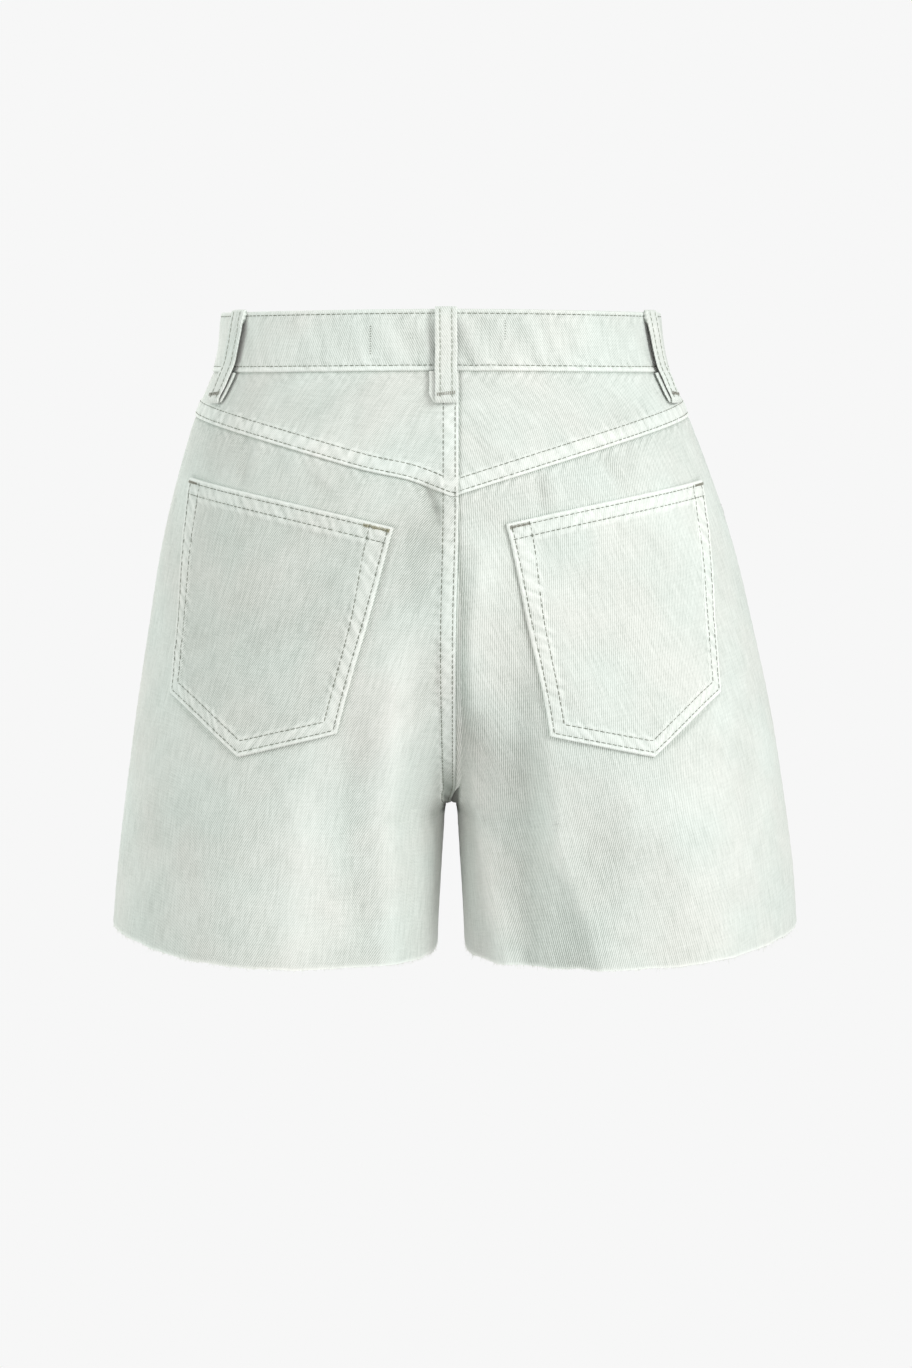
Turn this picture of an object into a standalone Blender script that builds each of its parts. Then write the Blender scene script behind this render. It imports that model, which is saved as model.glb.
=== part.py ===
"""Denim shorts with a raw hem, standing open and hollow as if worn.

Every panel of cloth is a region of one surface, the skin, which is the outside of a single layer of
denim. A place on the skin is given by its quarter (wearer's left or right, back or front), its drop
below the waist's level, and s, the distance along the cloth from the centre seam or the inseam. Some
sizes give u instead, the distance from the side seam. Lengths are in millimetres until a mesh is made.

+Z is up, the front faces -Y and the wearer's left is +X. The origin is the middle of the waistband.
"""

import math

import bmesh
import bpy
import numpy as np
from mathutils import Matrix, Vector

MM = 0.001

# ---------------------------------------------------------------- driving sizes, in millimetres
ORIGIN_DROP = 17.5  # the origin is this far below the waist's level
BAND_HEIGHT = 35.0
CROTCH_DROP = 296.0
LEG_SPLIT_DROP = 135.0  # the seat starts to part into two legs here
INSEAM_GAP = 1.07  # half the gap between the legs grows from this, 1 mm below the crotch
CROTCH_FLAT = 2.2  # and is this much wider at its top, which the seat seam bridges
LEG_SPREAD = 0.155  # the legs themselves part more slowly, by this 1 mm below the crotch
CROTCH_ROUND = 6.0  # half the width of the flat strip that the seat seam keeps down to the crotch
CROTCH_TURN = 0.09  # share of the way up to the split in which the strip turns under
HEM_DROP_SIDE = 371.0
HEM_DROP_INSEAM = 380.0
SEAM_GAP = 0.3  # between pieces that are sewn together

DENIM = 1.4  # thickness of one layer of cloth
BAND_THICK = 2.8  # the waistband is folded double
LAP_PROUD = 0.8  # how far the band and the felled seams stand out from the panels
LAP_WIDTH = 9.5  # a felled seam's width, from its fold to its second row of stitches
STEP = 0.9  # the slope beside it

YOKE_DROP_CENTRE = 105.5  # the yoke's lower fold at the centre back
YOKE_DROP_SIDE = 62.5  # and at the side seam
YOKE_LATE_DIP = 2.4  # the wearer's left fold runs this much higher just before the centre
CENTRE_LAP = 4.5  # the wearer's left back runs this far past the centre line
LAP_END_DROP = 290.0  # and no further than the centre line from here down
FLY_LAP = 3.0  # the wearer's left front runs this far past the centre front
FLY_SHARE = 0.16  # share of the left front that is doubled for the fly
FLY_END_DROP = 165.0

# The cloth's outline at each level. half_width is to the side seam, back and front are the depths,
# lean moves the middle towards the wearer's left, side_point is 0.5 for a round side and nearer 1
# for a creased one, and inner_round is the same for the inside of the leg, flatter as it gets less.
LEVEL_COLUMNS = ("drop", "half_width", "back", "front", "lean", "side_point", "inner_round")
LEVELS = (
    (-10, 129.0, 91, 89, 6.0, 0.50, 0.50),
    (0, 130.0, 92, 90, 6.0, 0.50, 0.50),
    (32, 134.5, 98, 94, 5.8, 0.50, 0.50),
    (60, 146.0, 108, 98, 5.5, 0.51, 0.50),
    (100, 160.0, 118, 102, 3.8, 0.54, 0.50),
    (140, 171.5, 124, 104, 2.0, 0.57, 0.50),
    (190, 182.0, 125, 105, 0.0, 0.62, 0.49),
    (240, 191.5, 122, 105, -1.6, 0.68, 0.46),
    (289, 199.0, 118, 104, -2.3, 0.73, 0.42),
    (330, 204.5, 115, 104, -2.6, 0.76, 0.36),
    (390, 209.5, 114, 104, -2.2, 0.78, 0.30),
)

# Soft folds, each from one place to another, given by u and drop. A fold is width from its middle
# to where it has mostly gone, height high, and fades at both ends. A trough is below zero.
FOLD_COLUMNS = ("side", "back", "from_u", "from_drop", "to_u", "to_drop", "width", "height")
FOLDS = (
    ("left", True, 180, 215, 190, 470, 24, 1.8),
    ("left", True, 198, 225, 226, 480, 14, -2.8),
    ("left", True, 223, 245, 250, 470, 14, 1.8),
    ("right", True, 212, 130, 240, 270, 13, 2.2),
    ("right", True, 240, 230, 262, 480, 13, 2.6),
    ("right", True, 200, 175, 222, 300, 13, -2.0),
    ("right", True, 216, 240, 228, 500, 13, -3.0),
    ("right", True, 200, 225, 186, 470, 13, 2.8),
    ("right", True, 110, 235, 120, 500, 26, 1.4),
    ("left", False, 185, 230, 206, 470, 15, -2.6),
    ("left", False, 120, 190, 132, 470, 24, 2.2),
    ("left", False, 60, 215, 66, 470, 17, -1.6),
    ("right", False, 196, 225, 218, 480, 14, -2.4),
    ("right", False, 150, 205, 158, 470, 20, 2.2),
    ("right", False, 90, 185, 82, 470, 19, -1.8),
)

# The corners of each back pocket, by u and drop.
POCKET_COLUMNS = ("top_outer", "top_inner", "bottom_inner", "tip", "bottom_outer")
POCKETS = {
    "left": ((42.5, 98.0), (196.0, 122.5), (190.5, 239.0), (135.0, 254.5), (66.5, 223.0)),
    "right": ((40.5, 99.5), (191.5, 120.5), (201.5, 240.5), (144.5, 254.0), (81.0, 221.5)),
}
POCKET_RISE = 2.4  # the mouth and the outer bottom edge arch up by this much at their middles
POCKET_GAP = 0.45  # under the patch, since both it and the panel are made of flat facets
POCKET_HEM = 12.0  # depth of the thicker hem at its mouth
POCKET_HEM_PROUD = 0.7

SCOOP_START = 0.50  # share of the front at which the front pocket's mouth leaves the band
SCOOP_DROP = 78.0  # how far below the band it meets the side seam
FACING_REACH = 16.0  # how far the facing runs on behind the mouth, below it
FACING_INNER = 0.09  # and towards the centre, as a share of the front
FACING_THICK = 1.2

LOOP_WIDTH = 12.5
LOOP_THICK = 1.7
LOOP_BOW = 2.9  # how far it stands off the band at its middle
LOOP_TURN_UP = 37.0  # its lower end is turned under, up to this far below the band's top
LOOP_END = 54.0
# Each loop's quarter, and the s or the u of its middle.
LOOPS = {
    "belt_loop_centre_back": ("left", True, "s", 2.6),
    "belt_loop_side_left": ("left", True, "u", 44.5),
    "belt_loop_side_right": ("right", True, "u", 36.5),
    "belt_loop_front_left": ("left", False, "s", 60.0),
    "belt_loop_front_right": ("right", False, "s", 58.0),
}

BUTTON_S = 15.0  # the waist button, on the wearer's left of the centre front
BUTTON_RADIUS = 8.5
BUTTON_PROUD = 3.8
TACK_RADIUS = 4.5
UNDER_LAP = 38.0  # the right end of the band runs this far behind the left end

# The zip lies behind the fly. Places across it are from the centre front to the wearer's left.
ZIP_X = 11.0
ZIP_TOP = 2.0  # below the band's seam
ZIP_END_DROP = 142.0
TAPE_REACH = {"left": 13.0, "right": 17.0}
TAPE_THICK = 0.8
TEETH_WIDTH = 2.4  # of one side's teeth
TEETH_PROUD = 0.6
TEETH_PARTED = 1.6  # from the middle of the zip, inside the slider and above it
CHAIN_DEPTH = 5.3  # of the teeth's middle behind the skin, and the tapes' edges lie just under the cloth
SLIDER_TOP = 46.0
SLIDER_LENGTH = 12.0
SLIDER_WIDTH = 8.4
SLIDER_PLATE = 0.9
SHIELD_END_DROP = 152.0
SHIELD_SPAN = (-10.0, 31.0)
SHIELD_DEPTH = 8.6

DENIM_COLOUR = (0.72, 0.76, 0.72)
METAL_COLOUR = (0.62, 0.60, 0.56)
TAPE_COLOUR = (0.70, 0.72, 0.68)


def table(columns, rows):
    """The rows as one array for each named column."""
    return {name: np.array([row[i] for row in rows]) for i, name in enumerate(columns)}


def smooth(knots, values, at):
    """A smooth curve through (knots, values), read at the given places."""
    slopes = np.gradient(values.astype(float), knots)
    at = np.clip(at, knots[0], knots[-1])
    i = np.clip(np.searchsorted(knots, at) - 1, 0, len(knots) - 2)
    span = knots[i + 1] - knots[i]
    t = (at - knots[i]) / span
    return (
        values[i] * (1 + 2 * t) * (1 - t) ** 2
        + values[i + 1] * t * t * (3 - 2 * t)
        + span * (slopes[i] * t * (1 - t) ** 2 - slopes[i + 1] * t * t * (1 - t))
    )


def ease(x):
    """0 up to 0, 1 from 1 on, and smooth between."""
    x = np.clip(x, 0.0, 1.0)
    return x * x * (3 - 2 * x)


def side_name(left):
    return "left" if left else "right"


# ---------------------------------------------------------------- the skin
class Quarter:
    """One quarter of the skin, such as the wearer's left back, from the centre to the side seam."""

    ALONG = 240  # places kept along each section
    LEVEL = table(LEVEL_COLUMNS, LEVELS)

    def __init__(self, left, back):
        self.left, self.back = left, back
        self.sign = 1 if left else -1
        top, bottom = self.LEVEL["drop"][[0, -1]]
        near = np.linspace(0, 1, 60) ** 2
        above = CROTCH_DROP - (CROTCH_DROP - top) * near[::-1]
        below = CROTCH_DROP + (bottom - CROTCH_DROP) * near[1:]
        self.drops = np.concatenate([above, below])
        made = [self.section(drop) for drop in self.drops]
        self.points = np.array([points for points, _ in made])
        self.lengths = np.array([length for _, length in made])

    def section(self, drop):
        """(places evenly along the cloth at this drop, its length), from the centre to the side."""
        read = {c: float(smooth(self.LEVEL["drop"], self.LEVEL[c], np.array(drop))) for c in LEVEL_COLUMNS}
        reach = read["half_width"] + self.sign * read["lean"]
        depth = read["back"] if self.back else -read["front"]
        gap = wide = 0.0
        if drop <= CROTCH_DROP:
            above = min(1.0, (CROTCH_DROP - drop) / (CROTCH_DROP - LEG_SPLIT_DROP))
            apart = 1 - math.sin(above * math.pi / 2) ** 1.5
            middle, half = reach * apart / (1 + apart), reach / (1 + apart)
            rounding = CROTCH_ROUND * float(ease(above / CROTCH_TURN))
            first = math.acos(max(-1.0, -middle / half))
        else:
            below = drop - CROTCH_DROP
            gap = INSEAM_GAP * below**0.46 + CROTCH_FLAT * math.exp(-below / 12) * (1 - math.exp(-below / 0.4))
            wide = LEG_SPREAD * below**0.9
            middle, half, rounding, first = (reach + wide) / 2, (reach - wide) / 2, 0.0, math.pi
        turn = first * (1 - ease(np.linspace(0, 1, 900)))
        x = middle + half * np.cos(turn)
        held_x = np.sqrt(np.maximum(x, 0) ** 2 + rounding**2 * np.exp(-((x / 25) ** 2)))
        across = np.clip((held_x - middle) / half, -1, 1)
        power = np.where(across > 0, read["side_point"], read["inner_round"])
        y = depth * (1 - across**2) ** power
        x = x + (gap - wide) * np.exp(-(x - wide) / 10)
        along = np.concatenate([[0], np.cumsum(np.hypot(np.diff(x), np.diff(y)))])
        at = np.linspace(0, along[-1], self.ALONG)
        return np.stack([np.interp(at, along, x), np.interp(at, along, y)], axis=1), along[-1]

    def length(self, drop):
        """The cloth's length at this drop, from the centre seam or inseam to the side seam."""
        return np.interp(drop, self.drops, self.lengths)

    def bare(self, s, drop):
        """The place on the skin without its folds. A distance below 0 is past the centre line."""
        s, drop = np.broadcast_arrays(np.asarray(s, float), np.asarray(drop, float))
        row = np.clip(np.interp(drop, self.drops, np.arange(len(self.drops))), 0, len(self.drops) - 1.001)
        along = np.clip(np.abs(s) / self.length(drop), 0, 1) * (self.ALONG - 1.001)
        i, j = row.astype(int), along.astype(int)
        u, v = (row - i)[..., None], (along - j)[..., None]
        p = self.points
        near = p[i, j] * (1 - v) + p[i, j + 1] * v
        far = p[i + 1, j] * (1 - v) + p[i + 1, j + 1] * v
        x, y = np.moveaxis(near * (1 - u) + far * u, -1, 0)
        x = np.where(s < 0, -x, np.maximum(x, SEAM_GAP / 2))
        return np.stack([self.sign * x, y, ORIGIN_DROP - drop], axis=-1)

    def normal(self, s, drop):
        """Which way is out, at a place on the skin."""
        along, up = 3.0, 5.0
        s, drop = np.broadcast_arrays(np.asarray(s, float), np.asarray(drop, float))
        length = self.length(drop)
        past_centre = along * (1 - ease((drop - CROTCH_DROP + 18) / 12))
        low = np.maximum(s - along, -past_centre - CENTRE_LAP * (past_centre > 0))
        across = self.bare(np.minimum(s + along, length), drop) - self.bare(low, drop)
        share = s / length
        lower, upper = drop + up, drop - up
        down = self.bare(share * self.length(lower), lower) - self.bare(share * self.length(upper), upper)
        out = np.cross(across, down) * (self.sign if self.back else -self.sign)
        return out / np.maximum(np.linalg.norm(out, axis=-1, keepdims=True), 1e-9)

    def fold(self, s, drop):
        """How far the folds move the cloth out. They fade where the cloth is sewn to its neighbours."""
        u = self.length(drop) - s
        moved = np.zeros(np.broadcast(s, drop).shape)
        for row in FOLDS:
            fold = dict(zip(FOLD_COLUMNS, row))
            if fold["side"] != side_name(self.left) or fold["back"] != self.back:
                continue
            run = np.array([fold["to_u"] - fold["from_u"], fold["to_drop"] - fold["from_drop"]], float)
            long = np.linalg.norm(run)
            run /= long
            du, dd = u - fold["from_u"], drop - fold["from_drop"]
            lengthwise = (du * run[0] + dd * run[1]) / long
            sideways = (du * run[1] - dd * run[0]) / fold["width"]
            fade = ease(lengthwise / 0.35) * ease((1 - lengthwise) / 0.35)
            moved += fold["height"] * np.exp(-(sideways**2)) * fade
        return moved * ease((s - 3) / 22) * ease((u - 3) / 25)

    def place(self, s, drop, out=0.0):
        """A place on the folded skin, moved out by a distance."""
        out = np.asarray(out + self.fold(s, drop))
        return self.bare(s, drop) + self.normal(s, drop) * out[..., None]


QUARTERS = {(left, back): Quarter(left, back) for left in (True, False) for back in (True, False)}


# ---------------------------------------------------------------- lines on the cloth
def waist_top(share, back):
    """Drop of the waistband's top edge, from the centre (share 0) to the side seam (share 1)."""
    centre = -0.5 if back else 7.0
    return 1.5 + (centre - 1.5) * (1 - ease(share))


def waist_seam(share, back):
    """Drop of the seam under the waistband."""
    return waist_top(share, back) + BAND_HEIGHT


def yoke_line(share, left):
    """Drop of the yoke's lower fold: a V over the seat, steeper near the centre. The left one dips later."""
    late = YOKE_LATE_DIP * np.exp(-(((share - 0.10) / 0.09) ** 2)) if left else 0.0
    return YOKE_DROP_SIDE + (YOKE_DROP_CENTRE - YOKE_DROP_SIDE) * (1 - share) ** 1.6 - late


def hem_line(share):
    """Drop of the raw hem, a little lower on the inside of the leg."""
    return HEM_DROP_INSEAM - (HEM_DROP_INSEAM - HEM_DROP_SIDE) * share**1.5


def centre_lap(drop):
    """How far the wearer's left back runs past the centre line at each level."""
    narrower = 1 - 0.35 * ease((drop - YOKE_DROP_CENTRE) / 90)
    return CENTRE_LAP * narrower * (1 - ease((drop - LAP_END_DROP + 14) / 14))


def fly_lap(drop):
    """The same at the centre front."""
    return FLY_LAP * (1 - ease((drop - FLY_END_DROP + 35) / 60))


def scoop_line(share):
    """Drop of the front pocket's mouth, a quarter of an ellipse from the band to the side seam."""
    along = np.clip((1 - share) / (1 - SCOOP_START), 0, 1)
    return waist_seam(share, False) + SCOOP_DROP * np.sqrt(1 - along**2)


# ---------------------------------------------------------------- meshes
def material(name, colour, roughness, metallic=0.0):
    made = bpy.data.materials.new(name)
    made.use_nodes = True
    shader = made.node_tree.nodes["Principled BSDF"]
    shader.inputs["Base Color"].default_value = (*colour, 1.0)
    shader.inputs["Roughness"].default_value = roughness
    shader.inputs["Metallic"].default_value = metallic
    made.diffuse_color = (*colour, 1.0)
    return made


def add(name, points, faces, colour=DENIM_COLOUR, roughness=0.9, metallic=0.0):
    """An object from points in millimetres, with its faces turned to point out."""
    mesh = bpy.data.meshes.new(name)
    mesh.from_pydata((np.asarray(points) * MM).tolist(), [], faces)
    body = bmesh.new()
    body.from_mesh(mesh)
    bmesh.ops.recalc_face_normals(body, faces=body.faces)
    body.to_mesh(mesh)
    body.free()
    mesh.shade_smooth()
    mesh.set_sharp_from_angle(angle=math.radians(40))
    mesh.materials.append(material(name, colour, roughness, metallic))
    made = bpy.data.objects.new(name, mesh)
    collection.objects.link(made)
    return made


def wall(name, outer, inner, **finish):
    """A closed wall between two grids of points, outer and inner, each rows x columns x 3."""
    rows, columns = outer.shape[:2]
    count = rows * columns
    index = np.arange(count).reshape(rows, columns)
    faces = []
    for i in range(rows - 1):
        for j in range(columns - 1):
            quad = [index[i, j], index[i, j + 1], index[i + 1, j + 1], index[i + 1, j]]
            faces += [quad, [count + k for k in reversed(quad)]]
    rim = [index[0, j] for j in range(columns)] + [index[i, -1] for i in range(1, rows)]
    rim += [index[-1, j] for j in range(columns - 2, -1, -1)] + [index[i, 0] for i in range(rows - 2, 0, -1)]
    for a, b in zip(rim, rim[1:] + rim[:1]):
        faces.append([b, a, count + a, count + b])
    points = np.concatenate([outer.reshape(-1, 3), inner.reshape(-1, 3)])
    return add(name, points, [[int(k) for k in face] for face in faces], **finish)


def rows_between(top, bottom, count, inner_share):
    """Drops of a panel's rows, top to bottom, closer together around the crotch near the inner edge."""
    t = np.linspace(0, 1, count)[:, None]
    even = top + (bottom - top) * t
    split = int(round((count - 1) * float((CROTCH_DROP - top[0]) / (bottom[0] - top[0]))))
    i = np.arange(count)[:, None]
    above = CROTCH_DROP - (CROTCH_DROP - top) * np.clip(1 - i / split, 0, 1) ** 2
    below = CROTCH_DROP + (bottom - CROTCH_DROP) * np.clip((i - split) / (count - 1 - split), 0, 1) ** 2
    dense = np.where(i <= split, above, below)
    near = 1 - ease(inner_share / 0.55)
    return even * (1 - near) + dense * near


def cloth(quarter, s, drop, out, inside, least=0.0):
    """The outer and inner grids of a panel. least keeps it on its own side of the centre plane."""
    outer = quarter.place(s, drop, out)
    inner = quarter.place(s, drop, inside + 0 * drop)
    edge = SEAM_GAP / 2
    for grid in (outer, inner):
        side = 1 if quarter.back else -1
        grid[..., 1] = side * np.maximum(side * grid[..., 1], edge)
        grid[..., 0] = quarter.sign * np.maximum(quarter.sign * grid[..., 0], least + edge)
    return outer, inner


def raised(distance, width=LAP_WIDTH):
    """How far a felled seam stands out, by the distance from its fold."""
    return LAP_PROUD * (1 - ease((distance - width) / STEP))


# ---------------------------------------------------------------- panels
def lap_columns(lap, length, count):
    """s of a panel's columns, which begin at the centre lap. The first ones are its raised seam."""
    edge = -lap + SEAM_GAP / 2
    strip = [edge, edge + LAP_WIDTH * 0.5, edge + LAP_WIDTH, edge + LAP_WIDTH + STEP]
    rest = strip[-1] + (length - SEAM_GAP / 2 - strip[-1]) * np.linspace(0, 1, count)[1:]
    return np.concatenate([strip, rest])


def back_columns(left, drop, count):
    """(s, distance from the centre seam's fold) of each column at this drop."""
    length = float(QUARTERS[left, True].length(drop))
    lap = float(centre_lap(drop))
    if left:
        s = lap_columns(lap, length, count)
        return s, s + lap
    s = np.linspace(lap + SEAM_GAP / 2, length - SEAM_GAP / 2, count)
    return s, np.full(count, 99.0)


def grid_between(columns, top, bottom, rows):
    """s, drop and the distance from the centre fold, for a grid whose edges lie on two lines."""
    count = len(columns(100.0)[0])
    upper = lower = np.linspace(0, 1, count)
    for _ in range(6):
        drop = rows(top(upper), bottom(lower))
        made = np.array([[columns(level) for level in row] for row in drop])
        s = np.array([made[:, j, 0, j] for j in range(count)]).T
        fold = np.array([made[:, j, 1, j] for j in range(count)]).T
        share = np.clip(s / made[:, :, 0, -1], 0, 1)
        upper, lower = share[0], share[-1]
    return s, drop, fold


def back_panel(left):
    quarter = QUARTERS[left, True]

    def rows(top, bottom):
        return rows_between(top, bottom, 27, np.linspace(0, 1, len(top)))

    s, drop, fold = grid_between(
        lambda d: back_columns(left, d, 22 if left else 24),
        lambda share: yoke_line(share, left) + SEAM_GAP,
        hem_line,
        rows,
    )
    least = -centre_lap(drop) if left else centre_lap(drop)
    fade = 1 - ease((drop - LAP_END_DROP + 18) / 22)
    outer, inner = cloth(quarter, s, drop, raised(fold) * fade, -DENIM, least)
    wall(f"back_panel_{side_name(left)}", outer, inner)


def back_yoke(left):
    quarter = QUARTERS[left, True]

    def rows(top, bottom):
        lower = bottom[None] - np.array([LAP_WIDTH + STEP, LAP_WIDTH, LAP_WIDTH / 2, 0])[:, None]
        t = np.linspace(0, 1, 4)[:-1, None]
        return np.concatenate([top + (lower[0] - top) * t, lower])

    s, drop, fold = grid_between(
        lambda d: back_columns(left, d, 22 if left else 24),
        lambda share: waist_seam(share, True) + SEAM_GAP,
        lambda share: yoke_line(share, left),
        rows,
    )
    from_fold = drop[-1] - drop
    out = np.maximum(raised(fold), raised(from_fold))
    least = -centre_lap(drop) if left else centre_lap(drop)
    outer, inner = cloth(quarter, s, drop, out, -DENIM, least)
    wall(f"back_yoke_{side_name(left)}", outer, inner)


def front_shares(count_inner, count_outer):
    """Shares of the front's columns: even up to the pocket's mouth, then spaced as on its ellipse."""
    inner = np.linspace(0, SCOOP_START, count_inner)
    turn = np.linspace(0, math.pi / 2, count_outer)[1:]
    return np.concatenate([inner, 1 - (1 - SCOOP_START) * np.cos(turn)])


def front_panel(left):
    quarter = QUARTERS[left, False]
    share = front_shares(11, 10)
    top = scoop_line(share) + SEAM_GAP
    drop = rows_between(top, hem_line(share), 22, share)
    lap = fly_lap(drop) * (1 if left else -1)
    length = quarter.length(drop)
    s = -lap + SEAM_GAP / 2 + (length - SEAM_GAP + lap) * share
    doubled = (1 - ease((share - FLY_SHARE) / 0.04)) * (1 - ease((drop - FLY_END_DROP + 15) / 30))
    out = LAP_PROUD * doubled * left
    outer, inner = cloth(quarter, s, drop, out, -DENIM, -lap)
    wall(f"front_panel_{side_name(left)}", outer, inner)


def pocket_facing(left):
    """The cloth that shows in the front pocket's mouth, sewn in at the band and the side seam."""
    quarter = QUARTERS[left, False]
    share = front_shares(2, 10)[1:]
    share = np.concatenate([[SCOOP_START - FACING_INNER], share])
    mouth = scoop_line(share)
    top = waist_seam(share, False) + SEAM_GAP
    bottom = mouth + FACING_REACH
    t = np.linspace(0, 1, 8)[:, None]
    drop = top + (bottom - top) * t
    length = quarter.length(drop)
    s = share * length - SEAM_GAP / 2
    under = -DENIM - POCKET_GAP
    clear = ease((mouth - drop - 2.0) / 22.0) * ease((share - SCOOP_START) / 0.12)
    out = under * (1 - 0.85 * clear)  # it comes forward in the open mouth
    outer, inner = cloth(quarter, s, drop, out, out - FACING_THICK)
    wall(f"pocket_facing_{side_name(left)}", outer, inner)


def back_pocket(left):
    quarter = QUARTERS[left, True]
    corner = {name: np.array(at, float) for name, at in zip(POCKET_COLUMNS, POCKETS[side_name(left)])}
    depth = np.linalg.norm(corner["bottom_inner"] - corner["top_inner"])
    hem = POCKET_HEM / depth
    down = np.concatenate([[0, hem, hem + STEP / depth], np.linspace(hem, 1, 13)[2:]])
    tip = 8
    across = np.concatenate([np.linspace(0, 0.5, tip + 1), np.linspace(0.5, 1, 8)[1:]])
    t, v = np.meshgrid(across, down)
    t, v = t[..., None], v[..., None]
    rise = np.array([0.0, POCKET_RISE])
    top = corner["top_inner"] * (1 - t) + corner["top_outer"] * t - rise * 4 * t * (1 - t)
    to_tip = corner["bottom_inner"] * (1 - 2 * t) + corner["tip"] * 2 * t
    from_tip = corner["tip"] * (2 - 2 * t) + corner["bottom_outer"] * (2 * t - 1)
    from_tip = from_tip - rise * 4 * (2 * t - 1) * (2 - 2 * t)
    bottom = np.where(t <= 0.5, to_tip, from_tip)
    place = top * (1 - v) + bottom * v
    u, drop = place[..., 0], place[..., 1]
    s = quarter.length(drop) - u
    thick = DENIM + POCKET_HEM_PROUD * (np.arange(len(down)) < 2)[:, None] + 0 * u
    outer = quarter.place(s, drop, POCKET_GAP + thick)
    inner = quarter.place(s, drop, np.full_like(u, POCKET_GAP))
    wall(f"back_pocket_{side_name(left)}", outer, inner)


# ---------------------------------------------------------------- waistband, loops and closure
def band_path(count):
    """Quarter, s and inset of each place round the band, from its left end to its right end.

    It starts at the centre front, goes round the wearer's left side, the back and the right side,
    and ends behind its own start, on the wearer's left of the centre front."""
    path = []
    left_front, left_back = QUARTERS[True, False], QUARTERS[True, True]
    right_back, right_front = QUARTERS[False, True], QUARTERS[False, False]
    for share in np.linspace(0, 1, count + 1)[:-1]:
        path.append((left_front, -FLY_LAP + (left_front.length(20) + FLY_LAP) * share, 0.0))
    for share in np.linspace(0, 1, count + 1)[:-1]:
        path.append((left_back, left_back.length(20) * (1 - share), 0.0))
    for share in np.linspace(0, 1, count + 1)[:-1]:
        path.append((right_back, right_back.length(20) * share, 0.0))
    inset = BAND_THICK + POCKET_GAP
    for share in np.linspace(0, 1, count + 1)[:-1]:
        s = right_front.length(20) * (1 - share)
        path.append((right_front, s, inset * (1 - ease((s - 12) / 30))))
    for s in np.linspace(0, UNDER_LAP, 5):
        path.append((left_front, s, inset))
    return path


def waistband():
    heights = np.array([0.0, 0.05, 0.35, 0.65, 0.95, 1.0])
    trim = np.array([0.9, 0.0, 0.0, 0.0, 0.0, 0.5])  # its edges are rounded
    outer, inner = [], []
    for quarter, s, inset in band_path(18):
        share = max(0.0, s) / quarter.length(20)
        drop = waist_top(share, quarter.back) + BAND_HEIGHT * heights
        at = share * quarter.length(drop) + min(s, 0.0)
        outer.append(quarter.place(at, drop, LAP_PROUD - inset - trim))
        inner.append(quarter.place(at, drop, LAP_PROUD - inset - BAND_THICK + trim))
    wall("waistband", np.array(outer), np.array(inner))


def belt_loop(name):
    """A strap over the band. Its upper end is turned in on the band and its lower end turned under."""
    side, back, measure, value = LOOPS[name]
    quarter = QUARTERS[side == "left", back]
    on_band = LAP_PROUD + POCKET_GAP
    on_yoke = on_band if back else POCKET_GAP
    bow = on_band + LOOP_BOW
    end, turned, thick = LOOP_END, LOOP_TURN_UP, LOOP_THICK
    # The loop seen from its edge, as (distance below the band's top, out): down the outside, then up
    # the inside.
    outside = (
        (-2.2, on_band + 0.9),
        (-1.2, on_band + 2.4),
        (4.0, bow + thick - 1.0),
        (12.0, bow + thick),
        (24.0, bow + thick),
        (turned - 4, bow + thick - 0.5),
        (turned + 4, on_yoke + 2 * thick + 0.9),
        (end - 5, on_yoke + 2 * thick + 0.2),
        (end - 1, on_yoke + 2 * thick - 0.6),
    )
    inside = (
        (end, on_yoke + thick),
        (end - 1, on_yoke + 0.3),
        (end - 6, on_yoke),
        (turned + 1, on_yoke),
        (turned, on_yoke + 0.8),
        (turned - 2, on_band + 2.2),
        (24.0, bow),
        (12.0, bow - 0.2),
        (7.0, bow - 1.4),
        (5.0, on_band),
        (-0.6, on_band),
    )
    profile = np.array(outside + inside)
    widths = np.linspace(-0.5, 0.5, 5) * LOOP_WIDTH
    at_waist = value if measure == "s" else float(quarter.length(0.0)) - value
    drop = profile[:, 0] + float(waist_top(at_waist / quarter.length(0.0), back))
    middle = value if measure == "s" else quarter.length(drop) - value
    grid = np.array([quarter.place(middle + width + 0 * drop, drop, profile[:, 1]) for width in widths])
    count, last = len(profile), (len(widths) - 1) * len(profile)
    faces = []
    for i in range(len(widths) - 1):
        for j in range(count):
            k = (j + 1) % count
            faces.append([i * count + j, i * count + k, (i + 1) * count + k, (i + 1) * count + j])
    faces += [list(range(count)), [last + j for j in reversed(range(count))]]
    add(name, grid.reshape(-1, 3), faces)


def behind_fly(name, across, drop, outward, inward, colour=DENIM_COLOUR):
    """A strip behind the fly from x and drop grids, its faces given by how far out they lie."""
    outer, inner = np.zeros((*drop.shape, 3)), np.zeros((*drop.shape, 3))
    for left in (True, False):
        here = across >= 0 if left else across < 0
        quarter = QUARTERS[left, False]
        outer[here] = quarter.place(np.abs(across[here]), drop[here], outward[here])
        inner[here] = quarter.place(np.abs(across[here]), drop[here], inward[here])
    wall(name, outer, inner, colour=colour)


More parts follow.
